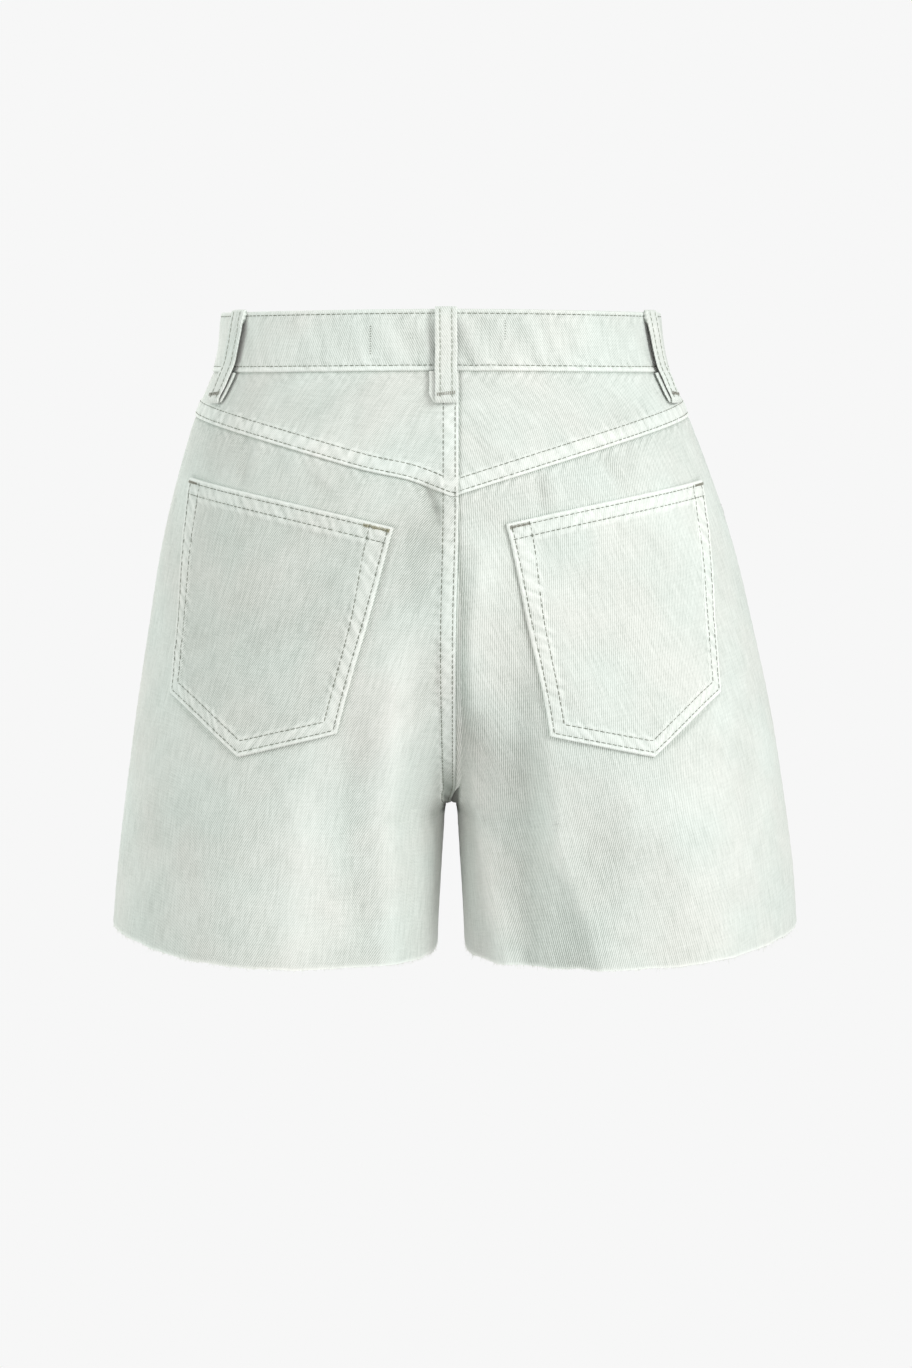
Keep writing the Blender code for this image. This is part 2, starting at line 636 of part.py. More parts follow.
def zip_tape(left):
    """One side of the zip: a tape sewn under the fly, with its row of teeth along its inner edge."""
    sign = 1 if left else -1
    reach = TAPE_REACH[side_name(left)]
    top = float(waist_seam(0.0, False)) + ZIP_TOP
    slider_end = SLIDER_TOP + SLIDER_LENGTH
    levels = [top, SLIDER_TOP + 4, slider_end - 3, slider_end + 1]
    levels += list(np.linspace(slider_end + 1, ZIP_END_DROP, 9)[1:])
    # From its inner edge: the teeth's face, the step down to the tape, and the tape to its outer edge.
    from_edge = np.array([0.0, TEETH_WIDTH, TEETH_WIDTH + 0.3, 4.5, 7.0, 9.5, reach])
    proud = TEETH_PROUD * (from_edge <= TEETH_WIDTH)
    drop, edge = np.meshgrid(levels, from_edge, indexing="ij")
    parted = SEAM_GAP / 2 + (TEETH_PARTED - SEAM_GAP / 2) * (1 - ease((drop - slider_end + 4) / 5))
    width = np.maximum(parted + edge * (reach - parted) / reach, parted)
    shallow = DENIM + POCKET_GAP + TAPE_THICK / 2
    depth = CHAIN_DEPTH + (shallow - CHAIN_DEPTH) * ease((width - 5.0) / 5.0)
    behind_fly(
        f"zip_tape_{side_name(left)}",
        ZIP_X + sign * width,
        drop,
        -depth + TAPE_THICK / 2 + proud,
        -depth - TAPE_THICK / 2 - proud,
        colour=TAPE_COLOUR,
    )


def fly_shield():
    """A strip of cloth behind the zip, sewn to the wearer's right front."""
    top = float(waist_seam(0.0, False)) + 1.0
    levels = np.linspace(top, SHIELD_END_DROP, 10)
    across, drop = np.meshgrid(np.linspace(*SHIELD_SPAN, 9), levels)
    sewn = DENIM + POCKET_GAP + TAPE_THICK + SEAM_GAP
    depth = sewn + (SHIELD_DEPTH - sewn) * ease((across + 6.0) / 9.0)
    behind_fly("fly_shield", across, drop, -depth, -depth - DENIM)


def frame_at(s, drop, out):
    """The frame of a hard piece on the wearer's left front: X across, Y up and Z out from the cloth."""
    quarter = QUARTERS[True, False]
    away = Vector(quarter.normal(s, drop))
    across = Vector((0.0, 0.0, 1.0)).cross(away).normalized()
    frame = Matrix((across, away.cross(across), away)).transposed().to_4x4()
    frame.translation = Vector(quarter.place(s, drop, out)) * MM
    return frame


def block(name, frame, centre, size):
    """A box given by its centre and size in a frame, in millimetres."""
    body = bmesh.new()
    place = frame @ Matrix.Translation(Vector(centre) * MM) @ Matrix.Diagonal((*(Vector(size) * MM), 1.0))
    bmesh.ops.create_cube(body, size=1.0, matrix=place)
    mesh = bpy.data.meshes.new(name)
    body.to_mesh(mesh)
    body.free()
    return bpy.data.objects.new(name, mesh)


def zip_slider():
    """Two plates on either side of the teeth, joined by a wedge between them, with the pull locked flat."""
    frame = frame_at(ZIP_X, SLIDER_TOP + SLIDER_LENGTH / 2, -CHAIN_DEPTH)
    apart = TAPE_THICK + 2 * TEETH_PROUD + 0.7
    plate = (apart + SLIDER_PLATE) / 2
    slider = block("zip_slider", frame, (0, 0, plate), (SLIDER_WIDTH, SLIDER_LENGTH, SLIDER_PLATE))
    slider.data.materials.append(material("zip_slider", METAL_COLOUR, 0.4, 1.0))
    collection.objects.link(slider)
    wedge = 2 * TEETH_PARTED - 0.8
    others = (
        ("slider back", (0, 0, -plate), (SLIDER_WIDTH, SLIDER_LENGTH, SLIDER_PLATE)),
        ("slider wedge", (0, SLIDER_LENGTH / 2 - 2.5, 0), (wedge, 4.0, apart + SLIDER_PLATE)),
        ("slider pull", (0, -2.5, plate + SLIDER_PLATE * 0.8), (4.4, 14.0, SLIDER_PLATE)),
    )
    for name, centre, size in others:
        other = block(name, frame, centre, size)
        other.hide_render = True
        other.display_type = "WIRE"
        cutters.objects.link(other)
        union = slider.modifiers.new(name, "BOOLEAN")
        union.operation = "UNION"
        union.object = other


def turned(name, frame, profile, sides):
    """A turned piece about the frame's Z, from (radius, height) down its outside, from top to bottom."""
    mesh = bpy.data.meshes.new(name)
    edges = [(i, i + 1) for i in range(len(profile) - 1)]
    mesh.from_pydata([(radius * MM, 0.0, height * MM) for radius, height in profile], edges, [])
    mesh.materials.append(material(name, METAL_COLOUR, 0.35, 1.0))
    made = bpy.data.objects.new(name, mesh)
    made.matrix_world = frame
    collection.objects.link(made)
    screw = made.modifiers.new("turn", "SCREW")
    screw.steps = screw.render_steps = sides
    screw.use_merge_vertices = True
    screw.merge_threshold = 0.00001


def waist_button():
    """A metal button with a dished face, and the tack behind the band that holds it."""
    drop = float(waist_top(0.1, False)) + BAND_HEIGHT / 2
    radius, high = BUTTON_RADIUS, BUTTON_PROUD
    face = (
        (0.0, 0.80 * high),
        (0.16 * radius, 0.80 * high),
        (0.66 * radius, 0.76 * high),
        (0.72 * radius, 0.94 * high),
        (0.86 * radius, high),
        (0.97 * radius, 0.84 * high),
        (radius, 0.56 * high),
        (0.88 * radius, 0.38 * high),
        (0.42 * radius, 0.34 * high),
        (0.42 * radius, 0.0),
        (0.0, 0.0),
    )
    turned("waist_button", frame_at(BUTTON_S, drop, LAP_PROUD + SEAM_GAP), face, 28)
    under = LAP_PROUD - BAND_THICK - POCKET_GAP - BAND_THICK
    tack = TACK_RADIUS
    back = (
        (0.0, 0.0),
        (0.9 * tack, 0.0),
        (tack, -0.4),
        (tack, -1.2),
        (0.8 * tack, -1.8),
        (0.3 * tack, -2.0),
        (0.0, -2.0),
    )
    turned("button_tack", frame_at(BUTTON_S, drop, under - SEAM_GAP), back, 20)


# ---------------------------------------------------------------- the shorts
for old in list(bpy.data.objects):
    bpy.data.objects.remove(old)
collection = bpy.data.collections.new("denim_shorts")
cutters = bpy.data.collections.new("cutters")
bpy.context.scene.collection.children.link(collection)
bpy.context.scene.collection.children.link(cutters)

for on_left in (True, False):
    back_panel(on_left)
    back_yoke(on_left)
    back_pocket(on_left)
    front_panel(on_left)
    pocket_facing(on_left)
    zip_tape(on_left)
waistband()
for loop_name in LOOPS:
    belt_loop(loop_name)
fly_shield()
zip_slider()
waist_button()
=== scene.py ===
"""Denim shorts, dressed: the cloth, its stitching, the zip, the button and the light.

Places on the cloth are given by a quarter of the shorts, the drop below the waist's level, and s, the
distance along the cloth from the centre seam or the inseam. Some sizes give u instead, the distance from
the side seam. Sizes are millimetres until a mesh is made. +Z is up and +X is the wearer's left.
"""

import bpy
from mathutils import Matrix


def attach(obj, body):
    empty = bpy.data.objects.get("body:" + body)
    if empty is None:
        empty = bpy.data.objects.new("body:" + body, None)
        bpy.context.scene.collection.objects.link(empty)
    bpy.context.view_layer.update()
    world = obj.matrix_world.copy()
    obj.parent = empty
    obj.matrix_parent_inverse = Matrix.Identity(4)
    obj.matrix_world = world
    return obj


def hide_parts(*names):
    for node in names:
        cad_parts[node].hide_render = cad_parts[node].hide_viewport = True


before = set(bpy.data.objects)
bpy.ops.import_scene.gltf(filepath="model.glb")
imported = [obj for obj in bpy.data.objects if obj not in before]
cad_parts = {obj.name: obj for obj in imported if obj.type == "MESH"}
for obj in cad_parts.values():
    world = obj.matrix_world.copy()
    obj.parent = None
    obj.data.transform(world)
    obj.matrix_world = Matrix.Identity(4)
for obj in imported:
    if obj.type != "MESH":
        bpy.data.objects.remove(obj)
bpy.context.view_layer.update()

import math

import bpy
import numpy as np
from mathutils import Matrix, Vector

bpy.ops.object.select_all(action="DESELECT")

# ------------------------------------------------------------------------------ back panels
# Two pieces of heavy cotton twill, bleached almost white, one layer thick. Each runs from the yoke
# to a hem that is only cut, never turned. They are felled together down the middle of the seat: the
# wearer's left one is folded over the right and held with two rows of stitches.
MM = 0.001
ORIGIN_DROP = 17.5  # from the waist's level down to the origin
BAND_HEIGHT = 35.0
CROTCH_DROP = 296.0
LEG_SPLIT_DROP = 135.0  # the legs' sections begin to part here
INSEAM_GAP = 1.07  # how soon each inseam leaves the middle below the crotch
LEG_SPREAD = 0.155
CROTCH_FLAT = 2.2  # half the width of the arch's blunt end
CROTCH_FLOOR = 3.1  # half the width of the flat strip between the legs just above the crotch
CROTCH_STRIP = 24.0  # how high that strip reaches
CROTCH_FADE = 12.0  # how soon the flat end narrows below the crotch
CROTCH_ROUND = 6.0
CROTCH_TURN = 0.09
HEM_DROP_SIDE = 371.0
HEM_DROP_INSEAM = 380.0
HEM_WANDER = 0.45
DENIM = 1.4  # thickness of one layer
LAP_PROUD = 0.8  # a folded-over edge stands this much higher
LAP_WIDTH = 9.5
LAP_STEP = 0.9  # the way down from the doubled cloth to the single
YOKE_DROP_CENTRE = 105.5
YOKE_DROP_SIDE = 62.5
YOKE_LATE_DIP = 2.4
CENTRE_LAP = 4.5
LAP_END_DROP = 290.0
MEETING = 0.03  # pieces that are sewn together meet this close
SIDES = {"left": True, "right": False}  # of the wearer

# Outline of the cloth at each level: the same rows as the solids under it.
LEVEL_COLUMNS = ("drop", "half_width", "back", "front", "lean", "side_point", "inner_round")
LEVELS = (
    (-10, 129.0, 91, 89, 6.0, 0.50, 0.50),
    (0, 130.0, 92, 90, 6.0, 0.50, 0.50),
    (32, 134.5, 98, 94, 5.8, 0.50, 0.50),
    (60, 146.0, 108, 98, 5.5, 0.51, 0.50),
    (100, 160.0, 118, 102, 3.8, 0.54, 0.50),
    (140, 171.5, 124, 104, 2.0, 0.57, 0.50),
    (190, 182.0, 125, 105, 0.0, 0.62, 0.49),
    (240, 191.5, 122, 105, -1.6, 0.68, 0.46),
    (289, 199.0, 118, 104, -2.3, 0.73, 0.42),
    (330, 204.5, 115, 104, -2.6, 0.76, 0.36),
    (390, 209.5, 114, 104, -2.2, 0.78, 0.30),
)

# The folds of each quarter. A fold runs through its places, given by u and drop. It is width from its
# middle to where it has mostly gone, and height high. Its side of larger u is wider by steep. The crisper
# it is, the sharper its crest, from 0 to 1.
LEFT_BACK, RIGHT_BACK, LEFT_FRONT, RIGHT_FRONT = (True, True), (False, True), (True, False), (False, False)
FOLDS = (
    (LEFT_BACK, ((183, 205), (178, 265), (177, 313), (172, 380), (168, 480)), 15, 3.0, 0.25, 0.5),
    (LEFT_BACK, ((191, 205), (205, 267), (210, 315), (221, 360), (230, 480)), 11, -3.0, 0.2, 0.0),
    (LEFT_BACK, ((202, 150), (216, 220), (226, 268), (231, 320), (238, 480)), 12, 3.9, 0.0, 0.4),
    (LEFT_BACK, ((60, 230), (66, 300), (70, 480)), 30, -1.2, 0.0, 0.0),
    (RIGHT_BACK, ((238, 200), (251, 245), (261, 296), (256, 330), (246, 372), (240, 480)), 12, 4.4, 0, 0.4),
    (RIGHT_BACK, ((200, 175), (212, 215), (224, 260), (231, 300), (233, 350), (232, 480)), 11, -4.2, 0, 0),
    (
        RIGHT_BACK,
        ((197, 215), (204, 267), (205, 292), (203, 315), (193, 340), (186, 372), (176, 480)),
        14,
        5.2,
        -0.35,
        0.9,
    ),
    (RIGHT_BACK, ((110, 235), (120, 500)), 30, 1.6, 0.0, 0.0),
    (RIGHT_BACK, ((150, 290), (140, 500)), 18, -1.2, 0.0, 0.0),
    (LEFT_FRONT, ((185, 230), (198, 350), (206, 470)), 15, -3.0, 0.2, 0.0),
    (LEFT_FRONT, ((120, 190), (124, 320), (132, 470)), 22, 2.6, 0.0, 0.4),
    (LEFT_FRONT, ((60, 215), (66, 470)), 17, -1.9, 0.0, 0.0),
    (RIGHT_FRONT, ((196, 225), (206, 350), (218, 480)), 14, -2.8, -0.2, 0.0),
    (RIGHT_FRONT, ((150, 205), (151, 330), (158, 470)), 19, 2.6, 0.0, 0.4),
    (RIGHT_FRONT, ((90, 185), (82, 470)), 19, -2.0, 0.0, 0.0),
)
CREASES = (
    (LEFT_BACK, ((225, 118), (230, 150), (238, 190), (243, 235)), 6, -1.5, 0.0, 0.0),
    (LEFT_BACK, ((197, 116), (203, 150), (211, 190), (220, 232)), 9, 2.0, 0.0, 0.3),
    (LEFT_BACK, ((80, 62), (85, 76), (95, 108)), 4, -0.9, 0.0, 0.0),
    (LEFT_BACK, ((91, 64), (96, 80), (107, 110)), 6, 0.9, 0.0, 0.5),
    (LEFT_BACK, ((104, 76), (121, 86), (143, 95), (168, 110)), 4, 0.8, 0.2, 0.5),
    (LEFT_BACK, ((202, 94), (209, 101), (217, 112), (222, 126)), 3.6, -2.2, 0.0, 0.0),
    (LEFT_BACK, ((190, 92), (197, 102), (208, 116), (216, 136)), 6, 1.1, 0.0, 0.3),
    (LEFT_BACK, ((168, 258), (176, 292), (180, 340)), 7, 0.6, 0.0, 0.0),
    (LEFT_BACK, ((150, 270), (160, 330), (166, 400)), 10, -0.7, 0.0, 0.0),
    (LEFT_BACK, ((188, 120), (196, 150), (203, 196)), 7, -0.7, 0.0, 0.0),
    (LEFT_BACK, ((232, 236), (243, 262), (254, 290)), 5, -0.6, 0.0, 0.0),
    (LEFT_BACK, ((203, 96), (208, 101), (212, 109), (219, 114), (226, 119)), 3.0, -2.0, 0.0, 0.0),
    (LEFT_BACK, ((186, 46), (190, 56), (196, 66), (203, 82)), 3.2, -0.8, 0.0, 0.0),
    (LEFT_BACK, ((92, 68), (90, 84), (90, 106)), 3.6, -0.8, 0.0, 0.0),
    (LEFT_BACK, ((122, 84), (140, 96), (162, 111)), 3.4, -0.9, 0.3, 0.0),
    (LEFT_BACK, ((154, 74), (149, 62), (141, 38)), 4.5, -0.8, 0.0, 0.0),
    (LEFT_BACK, ((187, 80), (184, 64), (179, 44)), 4.5, -0.9, 0.0, 0.0),
    (LEFT_BACK, ((172, 38), (166, 62), (158, 84)), 7, 0.6, 0.0, 0.3),
    (LEFT_BACK, ((126, 44), (118, 62), (110, 76)), 9, -0.6, 0.0, 0.0),
    (RIGHT_BACK, ((203, 112), (212, 140), (222, 165), (235, 200), (247, 250)), 9, 4.6, -0.2, 0.5),
    (RIGHT_BACK, ((186, 150), (196, 175), (208, 205), (220, 245)), 7, -1.4, 0.0, 0.0),
    (RIGHT_BACK, ((159, 88), (163, 98), (168, 114)), 3.4, -1.5, 0.0, 0.0),
    (RIGHT_BACK, ((150, 86), (154, 98), (160, 116)), 4, 1.0, 0.0, 0.4),
    (RIGHT_BACK, ((120, 76), (115, 88), (107, 102)), 4, -0.8, 0.0, 0.0),
    (RIGHT_BACK, ((130, 76), (124, 90), (116, 106)), 5, 0.7, 0.0, 0.4),
    (RIGHT_BACK, ((110, 122), (100, 140), (88, 162)), 7, -0.7, 0.0, 0.0),
    (RIGHT_BACK, ((176, 262), (178, 320), (168, 378)), 10, -0.8, 0.0, 0.0),
    (RIGHT_BACK, ((74, 232), (66, 300), (62, 372)), 15, -0.8, 0.0, 0.0),
    (RIGHT_BACK, ((190, 40), (182, 62), (170, 88)), 8, 0.6, 0.0, 0.3),
    (RIGHT_BACK, ((182, 50), (185, 68), (189, 90)), 4.5, -0.9, 0.0, 0.0),
    (RIGHT_BACK, ((199, 70), (197, 80), (195, 92)), 3.6, 0.8, 0.0, 0.4),
    (RIGHT_BACK, ((117, 82), (114, 94), (110, 106)), 3.0, -1.0, 0.0, 0.0),
    (RIGHT_BACK, ((161, 92), (164, 102), (169, 118)), 3.0, -1.0, 0.0, 0.0),
    (LEFT_FRONT, ((150, 120), (170, 160), (188, 215)), 9, -0.9, 0.0, 0.0),
    (LEFT_FRONT, ((206, 170), (190, 214), (160, 250)), 7, 1.1, 0.0, 0.4),
    (LEFT_FRONT, ((226, 206), (204, 246), (168, 282)), 7, -1.0, 0.0, 0.0),
    (LEFT_FRONT, ((244, 262), (222, 276), (192, 286)), 6, 0.9, 0.0, 0.4),
    (LEFT_FRONT, ((92, 150), (104, 190), (108, 250)), 11, -0.8, 0.0, 0.0),
    (RIGHT_FRONT, ((140, 118), (160, 165), (180, 210)), 9, -0.9, 0.0, 0.0),
    (RIGHT_FRONT, ((204, 176), (186, 216), (154, 246)), 7, 1.1, 0.0, 0.4),
    (RIGHT_FRONT, ((228, 214), (206, 250), (174, 278)), 7, -1.0, 0.0, 0.0),
    (RIGHT_FRONT, ((246, 268), (226, 280), (200, 288)), 6, 0.8, 0.0, 0.4),
    (RIGHT_FRONT, ((80, 160), (92, 200), (94, 262)), 11, -0.8, 0.0, 0.0),
)
# Patches of painted light and painted shade on the back: the quarter, the middle's u and drop, how far the
# patch reaches across and down, and how much lighter it is.
LIGHT_AND_SHADE_PATCHES = (
    (LEFT_BACK, 214, 138, 14, 45, -0.27),
    (LEFT_BACK, 50, 72, 40, 30, -0.10),
    (LEFT_BACK, 222, 220, 9, 60, 0.10),
    (LEFT_BACK, 185, 330, 25, 50, 0.08),
    (RIGHT_BACK, 250, 215, 14, 60, -0.29),
    (RIGHT_BACK, 186, 312, 22, 45, -0.14),
    (RIGHT_BACK, 196, 372, 22, 30, -0.30),
    (RIGHT_BACK, 60, 300, 60, 80, 0.09),
    (RIGHT_BACK, 160, 322, 16, 50, 0.09),
    (RIGHT_BACK, 60, 112, 40, 16, 0.06),
    (RIGHT_BACK, 88, 60, 44, 24, -0.08),
    (RIGHT_BACK, 230, 142, 16, 40, -0.08),
    (LEFT_BACK, 14, 150, 20, 60, -0.06),
)


def smooth(knots, values, at):
    """A smooth curve through (knots, values), read at the given places."""
    slopes = np.gradient(values.astype(float), knots)
    at = np.clip(at, knots[0], knots[-1])
    i = np.clip(np.searchsorted(knots, at) - 1, 0, len(knots) - 2)
    span = knots[i + 1] - knots[i]
    t = (at - knots[i]) / span
    return (
        values[i] * (1 + 2 * t) * (1 - t) ** 2
        + values[i + 1] * t * t * (3 - 2 * t)
        + span * (slopes[i] * t * (1 - t) ** 2 - slopes[i + 1] * t * t * (1 - t))
    )


def ease(x):
    """0 up to 0, 1 from 1 on, and smooth between."""
    x = np.clip(x, 0.0, 1.0)
    return x * x * (3 - 2 * x)


def close_to(distance, width):
    """1 where the distance is 0, and almost nothing twice the width away."""
    return np.exp(-((distance / width) ** 2))


def rounded(distance, radius):
    """The height of a rounded edge: 0 at the edge, and 1 from its radius on."""
    return np.sqrt(1 - (1 - np.clip(distance / radius, 0, 1)) ** 2)


def wander(x, period, seed):
    """An uneven wave along x, from about -1 to 1, whose bumps are roughly a period apart."""
    turn = 2 * math.pi * np.asarray(x, float) / period
    return (
        0.5 * np.sin(turn + seed * 1.7)
        + 0.3 * np.sin(1.73 * turn + seed * 4.1 + 1.3)
        + 0.2 * np.sin(0.41 * turn + seed * 2.3 + 0.6)
        + 0.2 * np.sin(2.9 * turn + seed * 0.9 + 2.2)
    )


def fold_lines(u, drop, rows, quarter):
    """How far these folds move the cloth out."""
    moved = np.zeros(np.broadcast(u, drop).shape)
    bend = 0.30  # how round the crisp folds' crests are
    for side, places, width, height, steep, crisp in rows:
        if side != quarter:
            continue
        at_u, at_drop = np.array(places, float).T
        along, knots, across, line = drop, at_drop, u, at_u
        if np.ptp(at_u) > np.ptp(at_drop):
            along, knots, across, line = u, at_u, drop, at_drop
        if knots[0] > knots[-1]:
            knots, line = knots[::-1], line[::-1]
        lean = np.interp(along, knots, np.gradient(line, knots))
        sideways = (across - smooth(knots, line, along)) / np.sqrt(1 + lean**2) / width
        sideways = sideways / (1 + steep * np.tanh(3 * sideways))
        lengthwise = (along - knots[0]) / (knots[-1] - knots[0])
        away = np.hypot(sideways, bend) - bend
        shape = (1 - crisp) * close_to(sideways, 1) + crisp * np.exp(-1.5 * away)
        moved += height * shape * ease(lengthwise / 0.3) * ease((1 - lengthwise) / 0.3)
    return moved


class Quarter:
    """One quarter of the skin, the cloth's outer side, from the centre to the side seam."""

    ALONG = 400
    LEVEL = {name: np.array([row[i] for row in LEVELS]) for i, name in enumerate(LEVEL_COLUMNS)}

    def __init__(self, left, back):
        self.left, self.back = left, back
        self.sign = 1 if left else -1
        top, bottom = self.LEVEL["drop"][[0, -1]]
        away = np.linspace(0, 1, 110) ** 2  # levels lie closer together at the crotch
        above = CROTCH_DROP - (CROTCH_DROP - top) * away[::-1]
        below = CROTCH_DROP + (bottom - CROTCH_DROP) * away[1:]
        self.drops = np.concatenate([above, below])
        made = [self.section(drop) for drop in self.drops]
        self.points = np.array([points for points, _ in made])
        self.lengths = np.array([length for _, length in made])
        nearby = [np.interp(self.drops + step, self.drops, self.lengths) for step in np.linspace(-24, 24, 13)]
        self.steady_lengths = np.mean(nearby, axis=0)

    def section(self, drop):
        """(places evenly along the cloth at this drop, its length), from the centre to the side."""
        read = {c: float(smooth(self.LEVEL["drop"], self.LEVEL[c], np.array(drop))) for c in LEVEL_COLUMNS}
        reach = read["half_width"] + self.sign * read["lean"]
        depth = read["back"] if self.back else -read["front"]
        gap = wide = 0.0
        if drop <= CROTCH_DROP:
            above = min(1.0, (CROTCH_DROP - drop) / (CROTCH_DROP - LEG_SPLIT_DROP))
            apart = 1 - math.sin(above * math.pi / 2) ** 1.5
            middle, half = reach * apart / (1 + apart), reach / (1 + apart)
            rounding = CROTCH_ROUND * float(ease(above / CROTCH_TURN))
            first = math.acos(max(-1.0, -middle / half))
            floor = CROTCH_FLOOR * (1 - float(ease((CROTCH_DROP - drop) / CROTCH_STRIP)))
        else:
            below = drop - CROTCH_DROP
            fading = math.exp(-below / CROTCH_FADE)
            wide = LEG_SPREAD * below**0.9
            gap = INSEAM_GAP * below**0.46 + CROTCH_FLAT * fading * (1 - math.exp(-below / 0.4))
            gap = max(gap, CROTCH_FLOOR * fading)
            middle, half, rounding, first, floor = (reach + wide) / 2, (reach - wide) / 2, 0.0, math.pi, 0.0
        turn = first * (1 - ease(np.linspace(0, 1, 900)))
        x = middle + half * np.cos(turn)
        held_x = np.sqrt(np.maximum(x, 0) ** 2 + rounding**2 * close_to(x, 25))
        across = np.clip((held_x - middle) / half, -1, 1)
        power = np.where(across > 0, read["side_point"], read["inner_round"])
        y = depth * (1 - across**2) ** power
        x = x + (gap - wide + floor) * np.exp(-(x - wide) / 10)
        if floor > 0:
            x = np.concatenate([np.linspace(0, x[0], 20)[:-1], x])
            y = np.concatenate([np.full(19, y[0]), y])
        along = np.concatenate([[0], np.cumsum(np.hypot(np.diff(x), np.diff(y)))])
        at = np.linspace(0, along[-1], self.ALONG)
        return np.stack([np.interp(at, along, x), np.interp(at, along, y)], axis=1), along[-1]

    def length(self, drop):
        """The cloth's length at this drop, from the centre seam or inseam to the side seam."""
        return np.interp(drop, self.drops, self.lengths)

    def sudden(self, drop):
        """How much longer the cloth is at this drop than it is on average for 24 mm above and below."""
        return self.length(drop) - np.interp(drop, self.drops, self.steady_lengths)

    def bare(self, s, drop):
        """The place on the skin without its folds. A distance below 0 is past the centre line."""
        s, drop = np.broadcast_arrays(np.asarray(s, float), np.asarray(drop, float))
        row = np.clip(np.interp(drop, self.drops, np.arange(len(self.drops))), 0, len(self.drops) - 1.001)
        along = np.clip(np.abs(s) / self.length(drop), 0, 1) * (self.ALONG - 1.001)
        i, j = row.astype(int), along.astype(int)
        u, v = (row - i)[..., None], (along - j)[..., None]
        p = self.points
        near = p[i, j] * (1 - v) + p[i, j + 1] * v
        far = p[i + 1, j] * (1 - v) + p[i + 1, j + 1] * v
        x, y = np.moveaxis(near * (1 - u) + far * u, -1, 0)
        x = np.where(s < 0, -x, np.maximum(x, MEETING / 2))
        return np.stack([self.sign * x, y, ORIGIN_DROP - drop], axis=-1)

    def normal(self, s, drop):
        """Which way is out, at a place on the skin."""
        along, up = 3.0, 5.0
        s, drop = np.broadcast_arrays(np.asarray(s, float), np.asarray(drop, float))
        length = self.length(drop)
        past_centre = along * (1 - ease((drop - CROTCH_DROP + 18) / 12))
        low = np.maximum(s - along, -past_centre - CENTRE_LAP * (past_centre > 0))
        across = self.bare(np.minimum(s + along, length), drop) - self.bare(low, drop)
        lower, upper = drop + up, drop - up
        from_side = ease((s - 15) / 50)  # places far from the centre keep their distance from the side seam
        down = self.bare(s + (self.length(lower) - length) * from_side, lower)
        down = down - self.bare(s + (self.length(upper) - length) * from_side, upper)
        out = np.cross(across, down) * (self.sign if self.back else -self.sign)
        return out / np.maximum(np.linalg.norm(out, axis=-1, keepdims=True), 1e-9)

    def fold(self, s, drop):
        """How far folds and creases move the cloth out. They fade towards the seams that hold it."""
        u = self.length(drop) - s
        quarter = (self.left, self.back)
        seed = 1.0 + 2.0 * self.left + 4.0 * self.back
        main = fold_lines(u, drop, FOLDS, quarter) * ease((s - 3) / 22) * ease((u - 3) / 25)
        fine = fold_lines(u, drop, CREASES, quarter)
        fine = fine + 0.32 * wander(u + 0.35 * drop, 46, seed) * wander(drop - 0.2 * u, 71, seed + 5)
        fine = fine + 0.10 * wander(u - 0.4 * drop, 17, seed + 1) * wander(drop + 0.5 * u, 23, seed + 3)
        return main + fine * ease((s - 1) / 9) * ease((u - 1) / 9)

    def bleached(self, s, drop):
        """How much lighter the cloth is: more on a fold's crest than in its valley, partly the wash's fade
        and partly painted light and shade, plus patches of painted light and shade.
        """
        fade_and_painted_light = 0.036 * np.clip(self.fold(s, drop), -5, 5)
        u = self.length(drop) - s
        for side, at_u, at_drop, across, down, share in LIGHT_AND_SHADE_PATCHES:
            if side == (self.left, self.back):
                fade_and_painted_light = fade_and_painted_light + share * close_to(u - at_u, across) * close_to(drop - at_drop, down)
        return fade_and_painted_light

    def place(self, s, drop, out=0.0):
        """A place on the folded skin, moved out by a distance."""
        out = np.asarray(out + self.fold(s, drop))
        return self.bare(s, drop) + self.normal(s, drop) * out[..., None]


QUARTERS = {(left, back): Quarter(left, back) for left in (True, False) for back in (True, False)}


def yoke_line(share, left):
    """Drop of the yoke's lower fold: a V over the seat, steeper near the centre. The left one dips later."""
    late = YOKE_LATE_DIP * close_to(share - 0.10, 0.09) if left else 0.0
    return YOKE_DROP_SIDE + (YOKE_DROP_CENTRE - YOKE_DROP_SIDE) * (1 - share) ** 1.6 - late


def hem_line(share, seed=0.0):
    """Drop of the raw hem, a little lower on the inside of the leg, and not quite even."""
    even = HEM_DROP_INSEAM - (HEM_DROP_INSEAM - HEM_DROP_SIDE) * share**1.5
    return even + HEM_WANDER * wander(share * 330, 37, seed)


def centre_lap(drop):
    """How far the wearer's left back runs past the centre line at each level."""
    narrower = 1 - 0.35 * ease((drop - YOKE_DROP_CENTRE) / 90)
    return CENTRE_LAP * narrower * (1 - ease((drop - LAP_END_DROP + 14) / 14))


# A felled seam: distances of its two rows of stitches from its fold, and the puckers that the thread
# has drawn up between them and the wash has bleached.
ROW_DROPS = (2.0, 8.75)
GROOVE = 0.36  # how deep a row of stitches draws the cloth in
GROOVE_WIDTH = 0.8
PUCKER = 0.28
PUCKER_PITCH = 7.6
EDGE_ROUND = 1.1  # radius of a folded edge
TURNED_IN = 0.75  # how far the cloth turns in at a plain seam
# Columns and rows of the mesh lie at these distances from a seam's fold, so that its relief is sharp.
SEAM_STEPS = np.array(
    [0, 0.35, 0.8, 1.4, 2.0, 2.6, 3.4, 4.6, 6.0, 7.4, 8.1, 8.75, 9.4, 10.0, 10.6, 11.6, 13.0]
)
EDGE_STEPS = np.array([6.5, 4.6, 3.0, 1.9, 1.1, 0.5, 0.0])


def grooves(distance, rows, depth=GROOVE):
    """How far rows of stitches draw the cloth in, by the distance from its edge."""
    return sum(-depth * close_to(distance - row, GROOVE_WIDTH) for row in rows)


